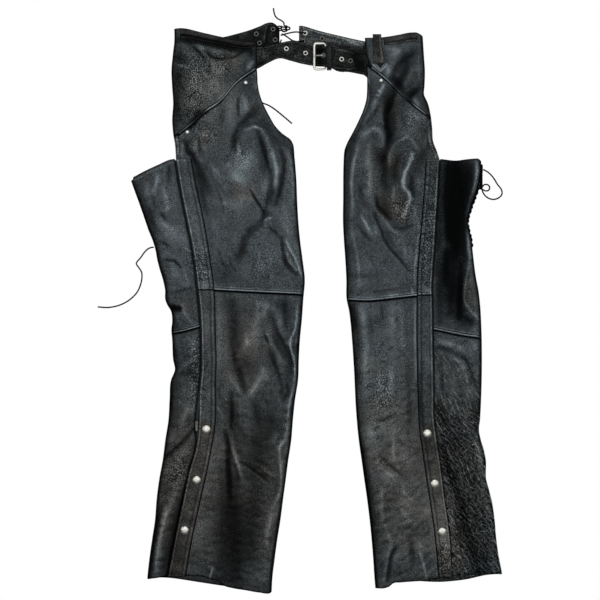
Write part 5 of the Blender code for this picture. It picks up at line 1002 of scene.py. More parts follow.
def lengths(points):
    """How far along its straight runs each point of a course lies."""
    return np.concatenate([[0], np.cumsum(np.linalg.norm(np.diff(points, axis=0), axis=1))])


def course_points(points, spacing=3.0):
    """Points read evenly from a smooth curve through a route's points."""
    reach = lengths(points)
    at = np.linspace(0, reach[-1], max(5, int(reach[-1] / spacing) + 1))
    return joined(*(smooth(reach, column)(at) for column in points.T))


def lace(node, course):
    """A round lace as one open curve along its course."""
    placed = place(course)
    curve = bpy.data.curves.new(f"look_{node}", "CURVE")
    curve.dimensions, curve.bevel_depth, curve.bevel_resolution, curve.use_fill_caps = "3D", LACE * MM, 3, True
    spline = curve.splines.new("POLY")
    spline.points.add(len(placed) - 1)
    spline.points.foreach_set("co", np.concatenate([placed, np.ones((len(placed), 1))], axis=1).ravel())
    piece = add_piece(curve.name, curve, "lace", "lace_leather", node)


def build_laces():
    """The waist lace with its knot, the lacing across the centre back, and the laces of the two thighs."""
    turn = np.radians(np.linspace(-126, 210, 84))
    wide = 2 + np.cos(5 * turn)
    knot = WAIST_KNOT + joined(wide * np.cos(2 * turn), wide * np.sin(2 * turn), np.sin(5 * turn)) * KNOT_SCALE
    runs = []
    bottom, top = LACING_REACH
    for high, low, first, last, reach in THIGH_LACING:
        phase = np.linspace(first, last, int(round(12 * (last - first))) + 1)
        y = high + (low - high) * (phase - first) / (last - first)
        z = (bottom + top) / 2 + (top - bottom) / 2 * np.cos(2 * math.pi * phase)
        x = LEFT_LEG.fold(y) + LACE - 1.5
        x += np.maximum(reach - x, 1.5) * np.sin(2 * math.pi * phase) ** 2
        runs.append(joined(x, y, z))
    for node, (far_end, text) in LACES.items():
        route = rows(text)
        if node == "waist_lace_up":
            course = np.concatenate([knot, course_points(np.concatenate([knot[-1:], route]))[1:]])
        elif node == "left_thigh_lacing":
            slack = course_points(np.concatenate([runs[0][-1:], route, runs[1][:1]]), 2.0)
            course = np.concatenate([runs[0], slack[1:-1], runs[1]])
        else:
            course = course_points(route)
        lace(node, course)


# ---------------------------------------------------------------- panels

# Usual lengths of the panels, by which rows of points close to their seams are set
THIGH_FRONT_LONG, THIGH_BACK_LONG, SHIN_BACK_LONG = 330.0, 310.0, 455.0
SHIN_SHARE = 0.62        # the thigh front's length over the shin front's


def seam_roll(from_edge, roll, sink):
    """A panel's rise beside a seam: a roll of turned-in leather 2 mm in, and a sunk line at the stitches."""
    return roll * hill(from_edge, 2.4, 1.7) - sink * hill(from_edge, 0, 1.0)


def painted_welt_light(low):
    """Painted light and shade of the turned-in hem above a seam: a painted highlight on the welt, a second
    painted light line over it, painted shade between and in the seam.
    """
    light = 1.9 * hill(low, 2.6, 1.3) + 0.8 * hill(low, 6.6, 1.2)
    return light - 1.3 * hill(low, 4.6, 0.8) - 4.0 * hill(low, 0, 1.0)


def build_fronts():
    """Thigh and shin fronts of both legs."""
    across = np.concatenate([np.linspace(0, 1 - CURL_PART, 102), 1 - CURL_PART * np.linspace(0.93, 0, 8)])
    near = np.array([0.35, 0.8, 1.4, 2.0, 2.6, 3.2, 3.9, 4.6, 5.3, 6.0, 6.7, 7.6]) / THIGH_FRONT_LONG
    for leg in LEGS:
        pocket = lambda at: leg.pocket_level(leg.front, at) - SEAM
        along = together(np.linspace(0, 1, 151), near, 1 - near)
        points, high, low = panel(leg.front, pocket, leg.knee, across, along)
        points[..., 2] += seam_roll(low, 1.2, 2.0) + seam_roll(high, 0.5, 1.0)
        x, y = points[..., 0], points[..., 1]
        # Painted light and shade: knee-seam welt, shade under the pocket seam, highlight inside the crotch edge
        extra = painted_welt_light(low) - 3.4 * hill(high, 1.4, 2.0)
        extra += 2.4 * ease((y - 290.0) / 12.0) * hill(leg.inward * (leg.inner(y) - x), 3.6, 1.1)
        leather(f"{leg.name}_thigh_front", points, "front", held="laid", **leg.paint(points, 0.22, extra=extra))
        along = together(np.linspace(0, 1, 229), near * SHIN_SHARE)
        points, high, low = panel(leg.front, leg.knee, leg.hem_front, across, along)
        points[..., 2] -= 1.9 * hill(high, 0, 1.7)
        # Painted shade along the knee seam and along the hem
        extra = -3.0 * hill(high, 0, 1.9) - 1.2 * hill(low, 0, 2.6)
        leather(f"{leg.name}_shin_front", points, "front", held="laid", **leg.paint(points, 0.22, extra=extra))


def build_backs():
    """Thigh and shin backs, which lie under the fronts and wrap round the outer folds to the zips."""
    runs = zip((*BACK_PARTS, 1), (*BACK_PARTS[1:], 1), (6, 34, 15, 40))
    across = together(*(np.linspace(*run) for run in runs))
    for leg in LEGS:
        left = leg.side > 0
        # Painted shade in the slit beside the back's edge at the zip
        beside = lambda p: -2.6 * hill(p[..., 0], leg.back_edge(p[..., 1]), 1.4 if left else 2.4)
        fine = np.array([0.4, 1, 1.8, 2.6, 3.4, 4.2, 5, 6, 7, 8]) / THIGH_BACK_LONG
        points, high, low = panel(leg.back, leg.back_top, leg.back_seam, across,
                                  together(np.linspace(0, 1, 148), 1 - fine))
        points[..., 2] += seam_roll(low, 1.0, 1.6) * ease((points[..., 2] - 6.0) / 2.0)
        # Painted light and shade: the welt at the seam, a light line under the top hem, shade at the top edge
        extra = painted_welt_light(low) + 0.9 * hill(high, 5.6, 1.1) - 0.5 * hill(high, 0, 3.4) + beside(points)
        lowered = np.minimum(points, (np.inf, ZIP_TOP, np.inf))
        leather(f"{leg.name}_thigh_back", points, "back", held="folded",
                **leg.paint(lowered, 0.20, rim=11.0, extra=extra))
        fine = np.array([0.5, 1.2, 2.2, 3.4]) / SHIN_BACK_LONG
        along = together(np.linspace(0, 1, 200), fine)
        points, high, low = panel(leg.back, leg.back_seam, leg.hem_back, across, along)
        points[..., 2] -= 1.6 * hill(high, 0, 1.7) * ease((points[..., 2] - 6.0) / 2.0)
        # Painted shade along the seam at the top and along the hem
        extra = beside(points) - 3.0 * hill(high, 0, 1.7) - 1.2 * hill(low, 0, 2.6)
        piece = leather(f"{leg.name}_shin_back", points, "crackled" if left else "back", held="folded",
                        **leg.paint(points, 0.19, rim=9.0, extra=extra))
        if left:
            down = -points[..., 1]
            where = 0.35 * ease((down - 50.0) / 50.0) + 0.65 * ease((down - 150.0) / 80.0)
            paint_attribute(piece.data, "crackle", where)


# Painted light and shade of the folds of the two bands and of the hip's rim beside the zip, with painted
# highlights: width, tone, points
BAND_STROKES = marks("""
2 1.2 267,24 265,34 263,43; 2 -1.2 269,24 267,34 265,43; 4 .7 272,30 270,40; 5 .6 240,36 252,32;
3 1 258,27 264,24; 3 .5 306,29 330,34 352,40; 5 1.2 348,40 360,43; 3 .5 303,34 306,40; 5 .9 326,37 346,43;
4 -1.4 326,42 344,46 362,48; 3 -1 310,31 330,37 352,43
""")
BAND_EYELETS = {
    "right": ((-112.5, 507.6), (-106.6, 490.6), (-81.6, 516.2), (-77.5, 496.5)),
    "left": ((-21.8, 508.8), (-25.6, 493.8), (9.8, 498.8)),
}


def away_from(points, holes, radius):
    """Which cells of a grid of points lie outside the holes."""
    middle = (points[:-1, :-1] + points[1:, 1:]) / 2
    return np.all([np.hypot(middle[..., 0] - x, middle[..., 1] - y) > radius for x, y in holes], axis=0)


def build_yokes():
    """Hip fronts, and the hips' backs with the bands that the laces draw together."""
    for leg in LEGS:
        pocket = lambda at: leg.pocket_level(leg.yoke, at) + SEAM
        across = together(CURL_PART * np.linspace(0, 1, 7), np.linspace(CURL_PART, 1, 84))
        points, high, low = panel(leg.yoke, leg.waist, pocket, across, np.linspace(0, 1, 90))
        points[..., 2] -= 0.8 * hill(low, 0, 1.6)
        # Painted shade along the pocket seam, under the welt
        leather(f"{leg.name}_hip_front", points, "yoke", held="laid",
                **leg.paint(points, 0.19, leg.hip_edge, 5.0, -2.4 * hill(low, 1.2, 2.0)))

        corner = float(leg.pocket_level(leg.yoke, np.zeros(1))[0]) - SEAM * 2
        high, low = float(leg.band_top(0.0)) - SEAM, float(leg.band_bottom(0.0)) + SEAM
        at_corner = (high - corner) / (high - low)
        along = np.concatenate([np.linspace(0, at_corner, 60), np.linspace(at_corner, 1, 24)[1:]])
        across = np.concatenate([[-BAND_CURL - 0.02, -BAND_CURL - 0.01], BAND_CURL * np.linspace(-1, 1, 13),
                                 np.linspace(BAND_CURL, 1, 110)[1:]])
        points, _, _ = panel(leg.band, leg.band_top, leg.band_bottom, across, along)
        row, column = np.indices((len(along) - 1, len(across) - 1))
        keep = ((column >= 8) | (row >= 59)) & away_from(points, BAND_EYELETS[leg.name], 2.6)
        x, y = points[..., 0], points[..., 1]
        from_top = leg.band_top(np.maximum(across, 0)) - y
        tone = swells(x, y, leg.seed + 63, 40, 10, 0.3) + strokes(x, y, BAND_STROKES)[0]
        # Painted shade at the band's top edge and a painted light line just below it
        tone -= 1.2 * hill(from_top, 0, 1.5)
        tone += 1.2 * hill(from_top, 3.4, 1.2) + 0.4 * hill(from_top, 9, 3)
        level, low_down = (0.032, 2.6) if leg.side < 0 else (0.2, 0.6)
        tone += low_down * ease((335.0 - y) / 8.0)
        leather(f"{leg.name}_hip_back", points, "back", keep=keep, held="folded",
                polish=np.clip(level * np.exp(tone), 0.004, 1), warmth=0.4, grain=0.55)


# ---------------------------------------------------------------- strips and stitches

PLACKET_WIDE, PLACKET_END = 28.0, -498.0
WAISTBAND_WIDE = 14.0
WELT_HALF = 2.1
STITCH_PITCH, STITCH_LONG, STITCH_THICK = 4.0, 3.0, 0.42


def build_strips():
    """The plackets over the zips, the waistbands and the pockets' welts."""
    for leg in LEGS:
        right, knee = leg.side < 0, float(leg.knee(0.0))
        for part, high, low in (("upper", ZIP_TOP - GAP, knee + SEAM), ("lower", knee - SEAM, PLACKET_END)):
            side, y = np.meshgrid(strip_columns(PLACKET_WIDE), np.linspace(high, low, int((high - low) / 2.2)))
            wide = leg.placket_in(y) - leg.placket_out(y)
            x = leg.placket_out(y) + wide * side
            z = leg.height(x, y) + OVER + strip_rounding(side, PLACKET_WIDE)
            z += swells(x, y, leg.seed + 17, 26, 9, 0.16) * ease(side * 8) * ease((1 - side) * 8)
            z += 0.5 * hill(high, y, 3.0) - 0.3 * hill(y, low, 2.0)
            from_out, from_in = side * np.abs(wide), (1 - side) * np.abs(wide)
            low_part, grainy = ease((-206.0 - y) / 16.0), strokes(x, y, leg.grain)[0]
            tone = swells(x, y, leg.seed + 60, 60, 12, 0.22) - 0.4 * low_part + 0.12 * right
            tone += swells(x * 0.3, y, leg.seed + 64, 10, 5, 0.5) * grainy
            # Painted light and shade: a highlight on the outer edge, shade at the stitched inner edge, lines at
            # the ends
            tone += hill(from_out, 1.6, 1.0) - 0.4 * hill(from_out, 3.8, 1.0)
            tone += 0.5 * hill(from_in, 4.6, 1.3) - 1.1 * hill(from_in, 8.2, 1.0)
            tone -= 2.6 * hill(from_in, 0, 1.5) + 0.6 * hill(from_in, 2.4, 0.8)
            tone += 1.1 * hill(y - low, 2.6, 1.3) - 0.8 * hill(y - low, 5.0, 1.0)
            tone += 0.9 * hill(high - y, 2.5, 1.5) * (part == "upper") - 2.0 * hill(high, y, 1.2)
            tone += strokes(x, y, leg.shades)[0]
            coarse = ease((-440.0 - y) / 20.0) * (not right) + grainy
            leather(f"{leg.name}_placket_{part}", joined(x, y, z), "strip",
                    polish=np.clip(0.21 * np.exp(tone), 0.005, 1), grain=np.clip(0.3 + coarse, 0, 1),
                    warmth=0.15 + 0.7 * low_part + 0.2 * (part == "lower") * right)

        across, down = np.meshgrid(np.linspace(*leg.waistband_ends, 70), strip_columns(15.0, 1.6))
        x, y, z = leg.waistband_at(across, down)
        # Painted light and shade: a highlight near the lower edge, shade at the top edge and over the lower
        # half
        tone = 0.9 * hill(down, 0.93, 0.05) + 0.4 * hill(down, 0.3, 0.2) - 0.8 * hill(down, 0, 0.06)
        tone = tone - (2.8 if right else 1.0) * ease((down - 0.5) / 0.2) * ease((0.92 - down) / 0.1)
        tone = tone + swells(x, y, leg.seed + 61, 40, 12, 0.2) + strokes(x, y, leg.shades)[0]
        leather(f"{leg.name}_waistband", joined(x, y, z + OVER + strip_rounding(down, WAISTBAND_WIDE)), "strip",
                polish=np.clip(0.09 * np.exp(tone), 0.005, 1), warmth=0.8)

        x, up = np.meshgrid(np.linspace(*leg.welt_ends(), 90), np.linspace(-1.0, 1.0, 9))
        y = leg.pocket(x) + WELT_HALF * up
        z = leg.height(x, y, leg.hip_edge) + OVER + 0.5 * (1 - up ** 2)
        # Painted highlight along the welt's crown, with painted shade to both sides
        shine = 0.01 + (0.85 + swells(x, y, leg.seed + 62, 50, 20, 0.5)) * hill(up, 0.15, 0.36)
        leather(f"{leg.name}_pocket_welt", joined(x, y, z), "strip",
                polish=np.clip(shine * np.exp(strokes(x, y, leg.shades)[0]), 0.01, 1.0), grain=0.1)


def repeated(name, sets, faces, look, slot=None):
    """Many copies of one small shape as one piece, whose mesh it returns: sets holds the points of each copy,
    faces the corners of the shape's own faces."""
    sets = sets.reshape(len(sets), -1, 3)
    faces = faces[None] + (np.arange(len(sets)) * sets.shape[1])[:, None, None]
    mesh, _ = quad_mesh(name, place(sets), faces)
    add_piece(name, mesh, look, slot)
    return mesh


def stitch_row(course):
    """Stitches along a course, each a small pointed capsule of three hexagons lying in the surface."""
    reach = lengths(course)
    at = np.arange(STITCH_PITCH / 2, reach[-1], STITCH_PITCH)
    read = lambda places: joined(*(np.interp(places, reach, column) for column in course.T))
    ahead, side, up = (way[:, None, None] for way in axes(read(at + 0.5) - read(at - 0.5)))
    along, size, lift = rows("-0.5 0.25 -0.6, -0.25 1 0.1, 0.25 1 0.1, 0.5 0.25 -0.6").T[:, None, :, None, None]
    ring = circle(1.0, 6)
    return (read(at)[:, None, None] + ahead * along * STITCH_LONG
            + (side * ring[:, :1] * size + up * (ring[:, 1:] * size + lift)) * STITCH_THICK)


def stitches(name, courses):
    """All the stitches of some courses as one piece."""
    sets = np.concatenate([stitch_row(course) for course in courses])
    ends = np.array([[0, 1, 2, 3], [0, 3, 4, 5]])
    shape = np.concatenate([grid_quads(*sets.shape[1:3], around=True).reshape(-1, 4), ends, 18 + ends[:, ::-1]])
    tidy_faces(repeated(name, sets, shape, "waxed_thread"))


def build_stitches():
    """Rows of stitches on the plackets, waistbands and pocket seams."""
    for leg in LEGS:
        courses = []
        y = np.arange(272.0, -496.0, -3.0)
        for inset in (2.2, 8.6):
            x = leg.placket_in(y) + leg.side * inset
            courses.append(joined(x, y, leg.height(x, y) + OVER + WALL / 2 + 0.1))
        x = np.linspace(*leg.welt_ends(), 70)
        for drop in (-4.4, 4.2):
            y = leg.pocket(x) + drop
            courses.append(joined(x, y, leg.height(x, y, leg.hip_edge) + WALL / 2 + 0.1))
        first, last = leg.waistband_ends
        for part in (0.14, 0.86):
            courses.append(joined(*leg.waistband_at(np.linspace(first + 0.01, last - 0.01, 60), part)))
            courses[-1][:, 2] += OVER + WALL / 2 + 0.05
        stitches(f"look_{leg.name}_stitches", courses)


# ---------------------------------------------------------------- zips, snaps, belt

def recoat(node, name):
    """A new finish on a node that keeps its shape."""
    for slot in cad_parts[node].material_slots:
        slot.material = finish(name)


def build_zips():
    """The zips under the slits: woven tape and two rows of teeth. Sliders and the pull keep their shape."""
    middle = LOFT - WALL / 2 - GAP
    outline = rows("-10 -0.3, 10 -0.3, 10 0.3, 3 0.3, -3 0.3, -10 0.3")
    corners = rows("-1.2 -0.5, 1.2 -0.5, 1.2 0.5, -1.2 0.5")
    corners = np.concatenate([joined(corners[:, 0], corners[:, 1], z) for z in (-0.35, 0.35)])
    box = rows("0 3 2 1, 4 5 6 7, 0 1 5 4, 1 2 6 5, 2 3 7 6, 3 0 4 7").astype(int)
    for leg in LEGS:
        zip_at = lambda y: leg.placket_out(y) + leg.side * leg.slit_zip(y)
        y = np.arange(ZIP_TOP - 2, ZIP_END, -4.0)
        tube(f"{leg.name}_zip", joined(zip_at(y), y, middle - 0.3), outline, "zip_tape")
        y = np.arange(ZIP_TOP - 4, ZIP_END, -2.4)
        teeth = [joined(zip_at(y) + side * 0.9, y + 0.6 * side, middle + 0.35)[:, None] + corners
                 for side in (-1, 1)]
        repeated(f"look_{leg.name}_zip_teeth", np.concatenate(teeth), box, "zip_teeth", "nickel").shade_flat()
    for node in ("right_zip_slider", "right_zip_pull", "left_zip_slider"):
        recoat(node, "dull_metal")


# Radius and height down the outside of a snap cap, a rivet and an eyelet, which is rolled over its hole
CAP = "0 3, 3 2.93, 5 2.62, 6.1 2.1, 6.5 1.75, 6.75 1.72, 7.2 1.5, 7.48 1, 7.5 0.5, 7.3 0.05, 0 0.05"
RIVET = "0 1.8, 1.6 1.7, 2.8 1.3, 3.5 0.75, 3.7 0.3, 3.6 0, 0 0"
EYELET = "2.4 0.1, 2.35 0.7, 2.6 1.1, 3.1 1.3, 3.7 1.28, 4.25 1, 4.58 0.55, 4.6 0.15, 4.4 0, 2.6 0"
# Name, profile, how many on the right and on the left, and facets
STUDS = (("snap", CAP, (3, 3), 32), ("pocket_rivet", RIVET, (2, 1), 24), ("band_eyelet", EYELET, (4, 3), 32))


def build_studs():
    """Snap caps, rivets and the bands' eyelets, each at the middle and foot of its node."""
    for side, leg in enumerate(LEGS):
        for kind, profile, counts, sides in STUDS:
            for k in range(counts[side]):
                node = f"{leg.name}_{kind}_{k + 1}"
                low, high = (np.array(corner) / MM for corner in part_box(node))
                x, y, _ = (low + high) / 2
                bright = kind != "band_eyelet" or node == "left_band_eyelet_1"
                turned_piece(node, x + CENTRE[0], y + CENTRE[1], low[2], profile,
                             "nickel" if bright else "dull_metal", sides=sides)


RIGHT_STRAP = table("x top bottom height", """
    -136 481 440 6.5, -110 482.3 442.5 6.5, -92 484.2 452.3 6.5, -70 489 461.4 6.5, -47 493.6 456.4 6.5,
    -31 492 452.1 6.3, -14 485.5 449 4.6, -5 484 447.5 4.2, 4 483 446 8.2, 11 482.5 445.2 12.2,
    17 482 444.4 13.1, 23 481.5 443.6 12.5, 31 480.5 441.5 9.9, 45 478 440.2 9.2, 62 475 438.5 9.2,
    70 470.5 442 9.2""")
LEFT_STRAP = table("x top bottom", """
    10 482.4 446.2, 17 482.4 445.8, 28 482.5 443.2, 36 481 438.8, 60 478 436, 86 475.8 431, 126 470 424""")
BELT_EYELETS = ((-56.6, 479.0), (-21.1, 471.0), (11.7, 465.5), (45.7, 459.0), (62.0, 456.0))
# Belt eyelets finished in the darker, duller metal
DULL_EYELETS = (2, 4)
BELT_WIDE = 36.0
STRAP_LOWER, STRAP_UPPER = 3.2, 6.2    # middles of the left strap's two layers
HEEL_BAR = (16.0, 6.6)
BAR = 1.7
STRAP_TURN = BAR + GAP + BELT_WALL / 2
BUCKLE_LEFT = (-5.0, 7.6)
BUCKLE_MIDDLE, BUCKLE_HALF, BUCKLE_CORNER = 464.8, 23.9, 4.5
KEEPER = (18.2, 26.8)
# Painted light and shade of the belt's folds: width, tone, points
BELT_STROKES = marks("""
6 .8 262,50 268,62; 4 -.6 272,48 274,58; 6 .6 292,46 300,58; 5 .4 304,46 308,62; 9 -1.2 350,50 362,70;
3 .9 334,49 352,53; 9 -1.4 319,47 322,67; 3 .6 258,56 262,50; 5 -.8 258,62 268,68; 4 .8 298,58 308,64;
4 .7 280,48 290,54; 4 -.8 288,60 300,66
""")


def across_strap(strap, x, side):
    """Level at a fraction across a strap, at each place along it."""
    top, bottom = smooth(strap["x"], strap["top"])(x), smooth(strap["x"], strap["bottom"])(x)
    return bottom + (top - bottom) * side


def belt_shades(x, y, side, level):
    """Polish and grain of the belt: dark, with a painted highlight inside each edge and painted shade at the
    edge.
    """
    near = np.minimum(side, 1 - side) * BELT_WIDE
    tone = swells(x, y, 77, 30, 8, 0.3) + 0.9 * hill(near, 2.0, 1.0) - 0.8 * hill(near, 4.4, 1.0)
    tone = tone - hill(near, 0, 0.9) + strokes(x, y, BELT_STROKES)[0]
    return {"polish": np.clip(level * np.exp(tone), 0.003, 1), "warmth": 0.5, "grain": 0.7}


def build_belt():
    """The two straps, the buckle with its prong, the keeper and the strap's eyelets."""
    rise = smooth(RIGHT_STRAP["x"], RIGHT_STRAP["height"])
    x, side = np.meshgrid(np.linspace(-136, 70, 150), strip_columns(BELT_WIDE, 1.6), indexing="ij")
    y = across_strap(RIGHT_STRAP, x, side)
    points = joined(x, y, rise(x) + strip_rounding(side, BELT_WIDE, 2.0, 0.35))
    leather("right_belt_strap", points, "belt", wall=BELT_WALL, keep=away_from(points, BELT_EYELETS, 3.0),
            **belt_shades(x, y, side, 0.085))
    for k, (x, y) in enumerate(BELT_EYELETS):
        slope = math.atan(float(rise(x + 3) - rise(x - 3)) / 6)
        lift = BELT_WALL / 2 / math.cos(slope) + 0.1
        turned_piece(f"belt_eyelet_{k + 1}", x, y, float(rise(x)) + lift, EYELET,
                     "dull_metal" if k in DULL_EYELETS else "nickel", -slope)

    bar_x, bar_z = HEEL_BAR
    around = np.linspace(-math.pi / 2, -3 * math.pi / 2, 16)
    course = np.concatenate([
        [(bar_x + dx, STRAP_LOWER) for dx in (34, 27, 20, 14, 8)],
        np.array(HEEL_BAR) + STRAP_TURN * joined(np.cos(around), np.sin(around)),
        [(bar_x + 5, bar_z + STRAP_TURN - 0.8), (bar_x + 12, STRAP_UPPER + 0.4)],
        joined(np.linspace(bar_x + 18, 126, 40), STRAP_UPPER)])
    side = strip_columns(BELT_WIDE)
    x, z = course[:, :1], course[:, 1:]
    points = joined(x, across_strap(LEFT_STRAP, x, side), z)
    middle = (points[:-1, :-1] + points[1:, 1:]) / 2
    slot = np.abs(middle - (bar_x - 1.0, 465.2, 0)) < (6.0, 3.0, np.inf)
    keep = ~(slot.all(axis=-1) & (middle[..., 2] > bar_z))
    leather("left_belt_strap", points, "belt", wall=BELT_WALL, keep=keep,
            **belt_shades(points[..., 0], points[..., 1], np.broadcast_to(side, points.shape[:2]), 0.045))

    left_x, left_z = BUCKLE_LEFT
    course = []
    for corner_x, corner_y, out in ((bar_x, -1, 1), (bar_x, 1, 1), (left_x, 1, -1), (left_x, -1, -1)):
        first = math.atan2(corner_y, out) - math.pi / 4
        turn = first + np.linspace(0, math.pi / 2, 9)
        x = corner_x - out * BUCKLE_CORNER + BUCKLE_CORNER * np.cos(turn)
        y = BUCKLE_MIDDLE + corner_y * (BUCKLE_HALF - BUCKLE_CORNER) + BUCKLE_CORNER * np.sin(turn)
        course.append(joined(x, y, left_z + (bar_z - left_z) * (x - left_x) / (bar_x - left_x)))
    course = np.concatenate(course)
    wide = BAR + 0.75 * ease((bar_x - 2.0 - course[:, :1]) / 4.0)
    tube("buckle_frame", course, circle(1.0, 14) * joined(wide, BAR), "nickel", "nickel", closed=True)
    recoat("buckle_prong", "nickel")

    low, high = 440.6, 485.6
    top = float(rise(21.5)) + BELT_WALL / 2 + GAP + WALL / 2 + 0.3
    lower = [(low, 1.0), (low, 4.0), (low + 0.2, top - 2.4), (low + 0.9, top - 0.9), (low + 2.6, top)]
    upper = [(high - 2.6, top), (high - 0.9, top - 0.9), (high - 0.2, top - 2.4), (high, 5.0), (high, 2.4)]
    across_top = [(low + 12, top + 0.2), (low + 22, top + 0.25), (high - 12, top + 0.2)]
    section = np.array(lower + across_top + upper)
    points = joined(np.linspace(*KEEPER, 7), section[:, :1], section[:, 1:])
    leather("belt_keeper", points, "belt", "strip_leather", polish=0.10)

    courses = []
    for strap, x, z in ((RIGHT_STRAP, np.linspace(-134, 66, 110), rise),
                        (LEFT_STRAP, np.linspace(72, 122, 30), None)):
        for part in (0.085, 0.915):
            z_at = (rise(x) if z else STRAP_UPPER) + BELT_WALL / 2 + 0.05
            courses.append(joined(x, across_strap(strap, x, part), z_at))
    stitches("look_belt_stitches", courses)


def build_loop():
    """The belt loop on the left yoke and the V-shaped tab that holds its foot."""
    top, foot, long, wide = 505.0, 451.6, 53.4, 15.0
    side, y = np.meshgrid(strip_columns(wide, 1.6), np.linspace(top, foot, 30))
    left, right = (smooth((505.8, 480.0, foot), edge)(y)
                   for edge in ((103.2, 103.9, 104.6), (118.0, 120.8, 125.2)))
    z = LOFT + OVER + 0.9 + 0.6 * np.sin(math.pi * (y - foot) / long) + strip_rounding(side, wide)
    # Painted highlight along one edge of the loop, brighter towards its foot
    leather("left_belt_loop", joined(left + (right - left) * side, y, z), "strip", warmth=0.8,
            polish=0.10 + 0.25 * hill(side, 0.85, 0.08) + 0.1 * ease((470.0 - y) / 12.0))
    first, second, point = rows("106 450.9, 127.4 450.9, 117 436.8")
    side, down = np.meshgrid(np.linspace(0, 1, 21), np.linspace(0, 0.9, 15))
    head = first + (second - first) * side[..., None]
    x, y = np.moveaxis(head + (point - head) * down[..., None], -1, 0)
    # Painted highlights along the tab's two slanting edges
    rim = np.minimum(side, 1 - side) * (1 - down) * 20.0
    leather("left_loop_tab", joined(x, y, LEFT_LEG.height(x, y, LEFT_LEG.hip_edge) + OVER), "strip",
            polish=0.06 + 0.8 * hill(rim, 1.6, 1.2))


# ---------------------------------------------------------------- stage

# Where each soft light stands, its sides in metres, its radiance and its colour. All face the middle.
LIGHTS = {
    "ceiling": ((0.0, 0.15, 3.4), (2.5, 3.0), 1.0, (0.95, 0.985, 1.0)),
    "left_box": ((-1.9, 0.3, 2.8), (0.7, 2.4), 2.6, (0.97, 0.99, 1.0)),
    "right_box": ((1.9, 0.3, 2.8), (0.7, 2.4), 2.6, (0.97, 0.99, 1.0)),
    "top_box": ((0.0, 2.4, 2.8), (2.6, 0.8), 3.4, (0.95, 0.985, 1.0)),
}
FLOOR = 40.0
FLOOR_DROP = 0.0004
LENS, SENSOR = 85.0, 36.0
VIEW_WIDE = 1.110
CAMERA_MIDDLE = (-0.0316, 0.0139)


def build_stage():
    """A plain white floor with painted shadows inside the eyelets, soft lights above and at the sides, and a
    camera that looks straight down."""
    scene = bpy.context.scene
    mesh = bpy.data.meshes.new("floor")
    corners = [(x * FLOOR, y * FLOOR, -FLOOR_DROP) for x, y in ((-1, -1), (1, -1), (1, 1), (-1, 1))]
    mesh.from_pydata(corners, [], [(0, 1, 2, 3)])
    white = Paint("floor_white").finish(
        Base_Color=(0.0, 0.0, 0.0, 1.0), Roughness=1.0, Specular_IOR_Level=0.0,
        Emission_Color=(1.0, 1.0, 1.0, 1.0), Emission_Strength=1.0)
    white.cycles.emission_sampling = "NONE"
    mesh.materials.append(white)
    new_object("floor", mesh)

    # Painted shadow: a dark disc just above the floor under each eyelet's hole, so the holes show dark
    holes = np.array([*BAND_EYELETS["right"], *BAND_EYELETS["left"], *BELT_EYELETS])[:, None]
    rims = holes + circle(4.2, 16)
    mesh = bpy.data.meshes.new("eyelet_shadows")
    mesh.from_pydata(place(joined(rims[..., 0], rims[..., 1], -0.2)).tolist(), [],
                     np.arange(len(holes) * 16).reshape(-1, 16).tolist())
    mesh.materials.append(Paint("shadow_black").finish(
        Base_Color=(0.01, 0.01, 0.01, 1.0), Roughness=1.0, Specular_IOR_Level=0.0))
    new_object("eyelet_shadows", mesh)

    world = bpy.data.worlds.new("studio")
    scene.world = world
    world.use_nodes = True
    sky = world.node_tree.nodes["Background"].inputs
    sky["Color"].default_value, sky["Strength"].default_value = (0.95, 0.98, 1.0, 1.0), 0.06
    for name, (stands, size, radiance, colour) in LIGHTS.items():
        lamp = bpy.data.lights.new(name, "AREA")
        lamp.shape, lamp.size, lamp.size_y, lamp.color = "RECTANGLE", *size, colour
        lamp.energy = radiance * scene.chaps.light * size[0] * size[1] * math.pi
        stand = new_object(name, lamp)
        stand.location = stands
        stand.rotation_euler = (Vector() - Vector(stands)).to_track_quat("-Z", "Y").to_euler()

    camera = new_object("camera", bpy.data.cameras.new("camera"))
    camera.data.lens, camera.data.sensor_width = LENS, SENSOR
    camera.location = (*CAMERA_MIDDLE, VIEW_WIDE * LENS / SENSOR + 0.010)
    scene.camera = camera
    scene.view_settings.view_transform, scene.view_settings.look = "Standard", "None"


# ---------------------------------------------------------------- add-on

def colour(name, description, default):
    """A colour on the panel."""
    return bpy.props.FloatVectorProperty(name=name, description=description, default=default, subtype="COLOR",
                                         size=3, min=0, max=1)


class ChapsSettings(bpy.types.PropertyGroup):
    """Sizes and colours of the chaps."""
    cool_colour: colour("Cool leather", "Colour of the polished leather where it is cool",
                        (0.030, 0.044, 0.052))
    warm_colour: colour("Warm leather", "Colour of the polished leather where it is warm",
                        (0.050, 0.043, 0.036))
    cool_shine: colour("Cool shine", "Tint of the shine where the leather is cool", (0.84, 0.95, 1.0))
    warm_shine: colour("Warm shine", "Tint of the shine where the leather is warm", (1.0, 0.95, 0.88))
    # The dull skin shows where the polish is low, which includes the painted shade in troughs and at edges
    skin_colour: colour("Dull leather", "Colour of the leather in its troughs", (0.0012, 0.0013, 0.0014))
    metal_colour: colour("Metal", "Colour of the snaps, rivets, eyelets and buckle", (1.0, 0.97, 0.88))
    pebble: bpy.props.FloatProperty(
        name="Pebble size", description="Width of one pebble of the grain", subtype="DISTANCE", unit="LENGTH",
        min=0.0005, max=0.01, default=0.0044)
    grain_depth: bpy.props.FloatProperty(
        name="Grain depth", description="Height of the grain", subtype="DISTANCE", unit="LENGTH",
        min=0.0, max=0.002, default=0.0004)
    light: bpy.props.FloatProperty(
        name="Light", description="Strength of the studio's lights", min=0.1, max=5.0, default=1.0)


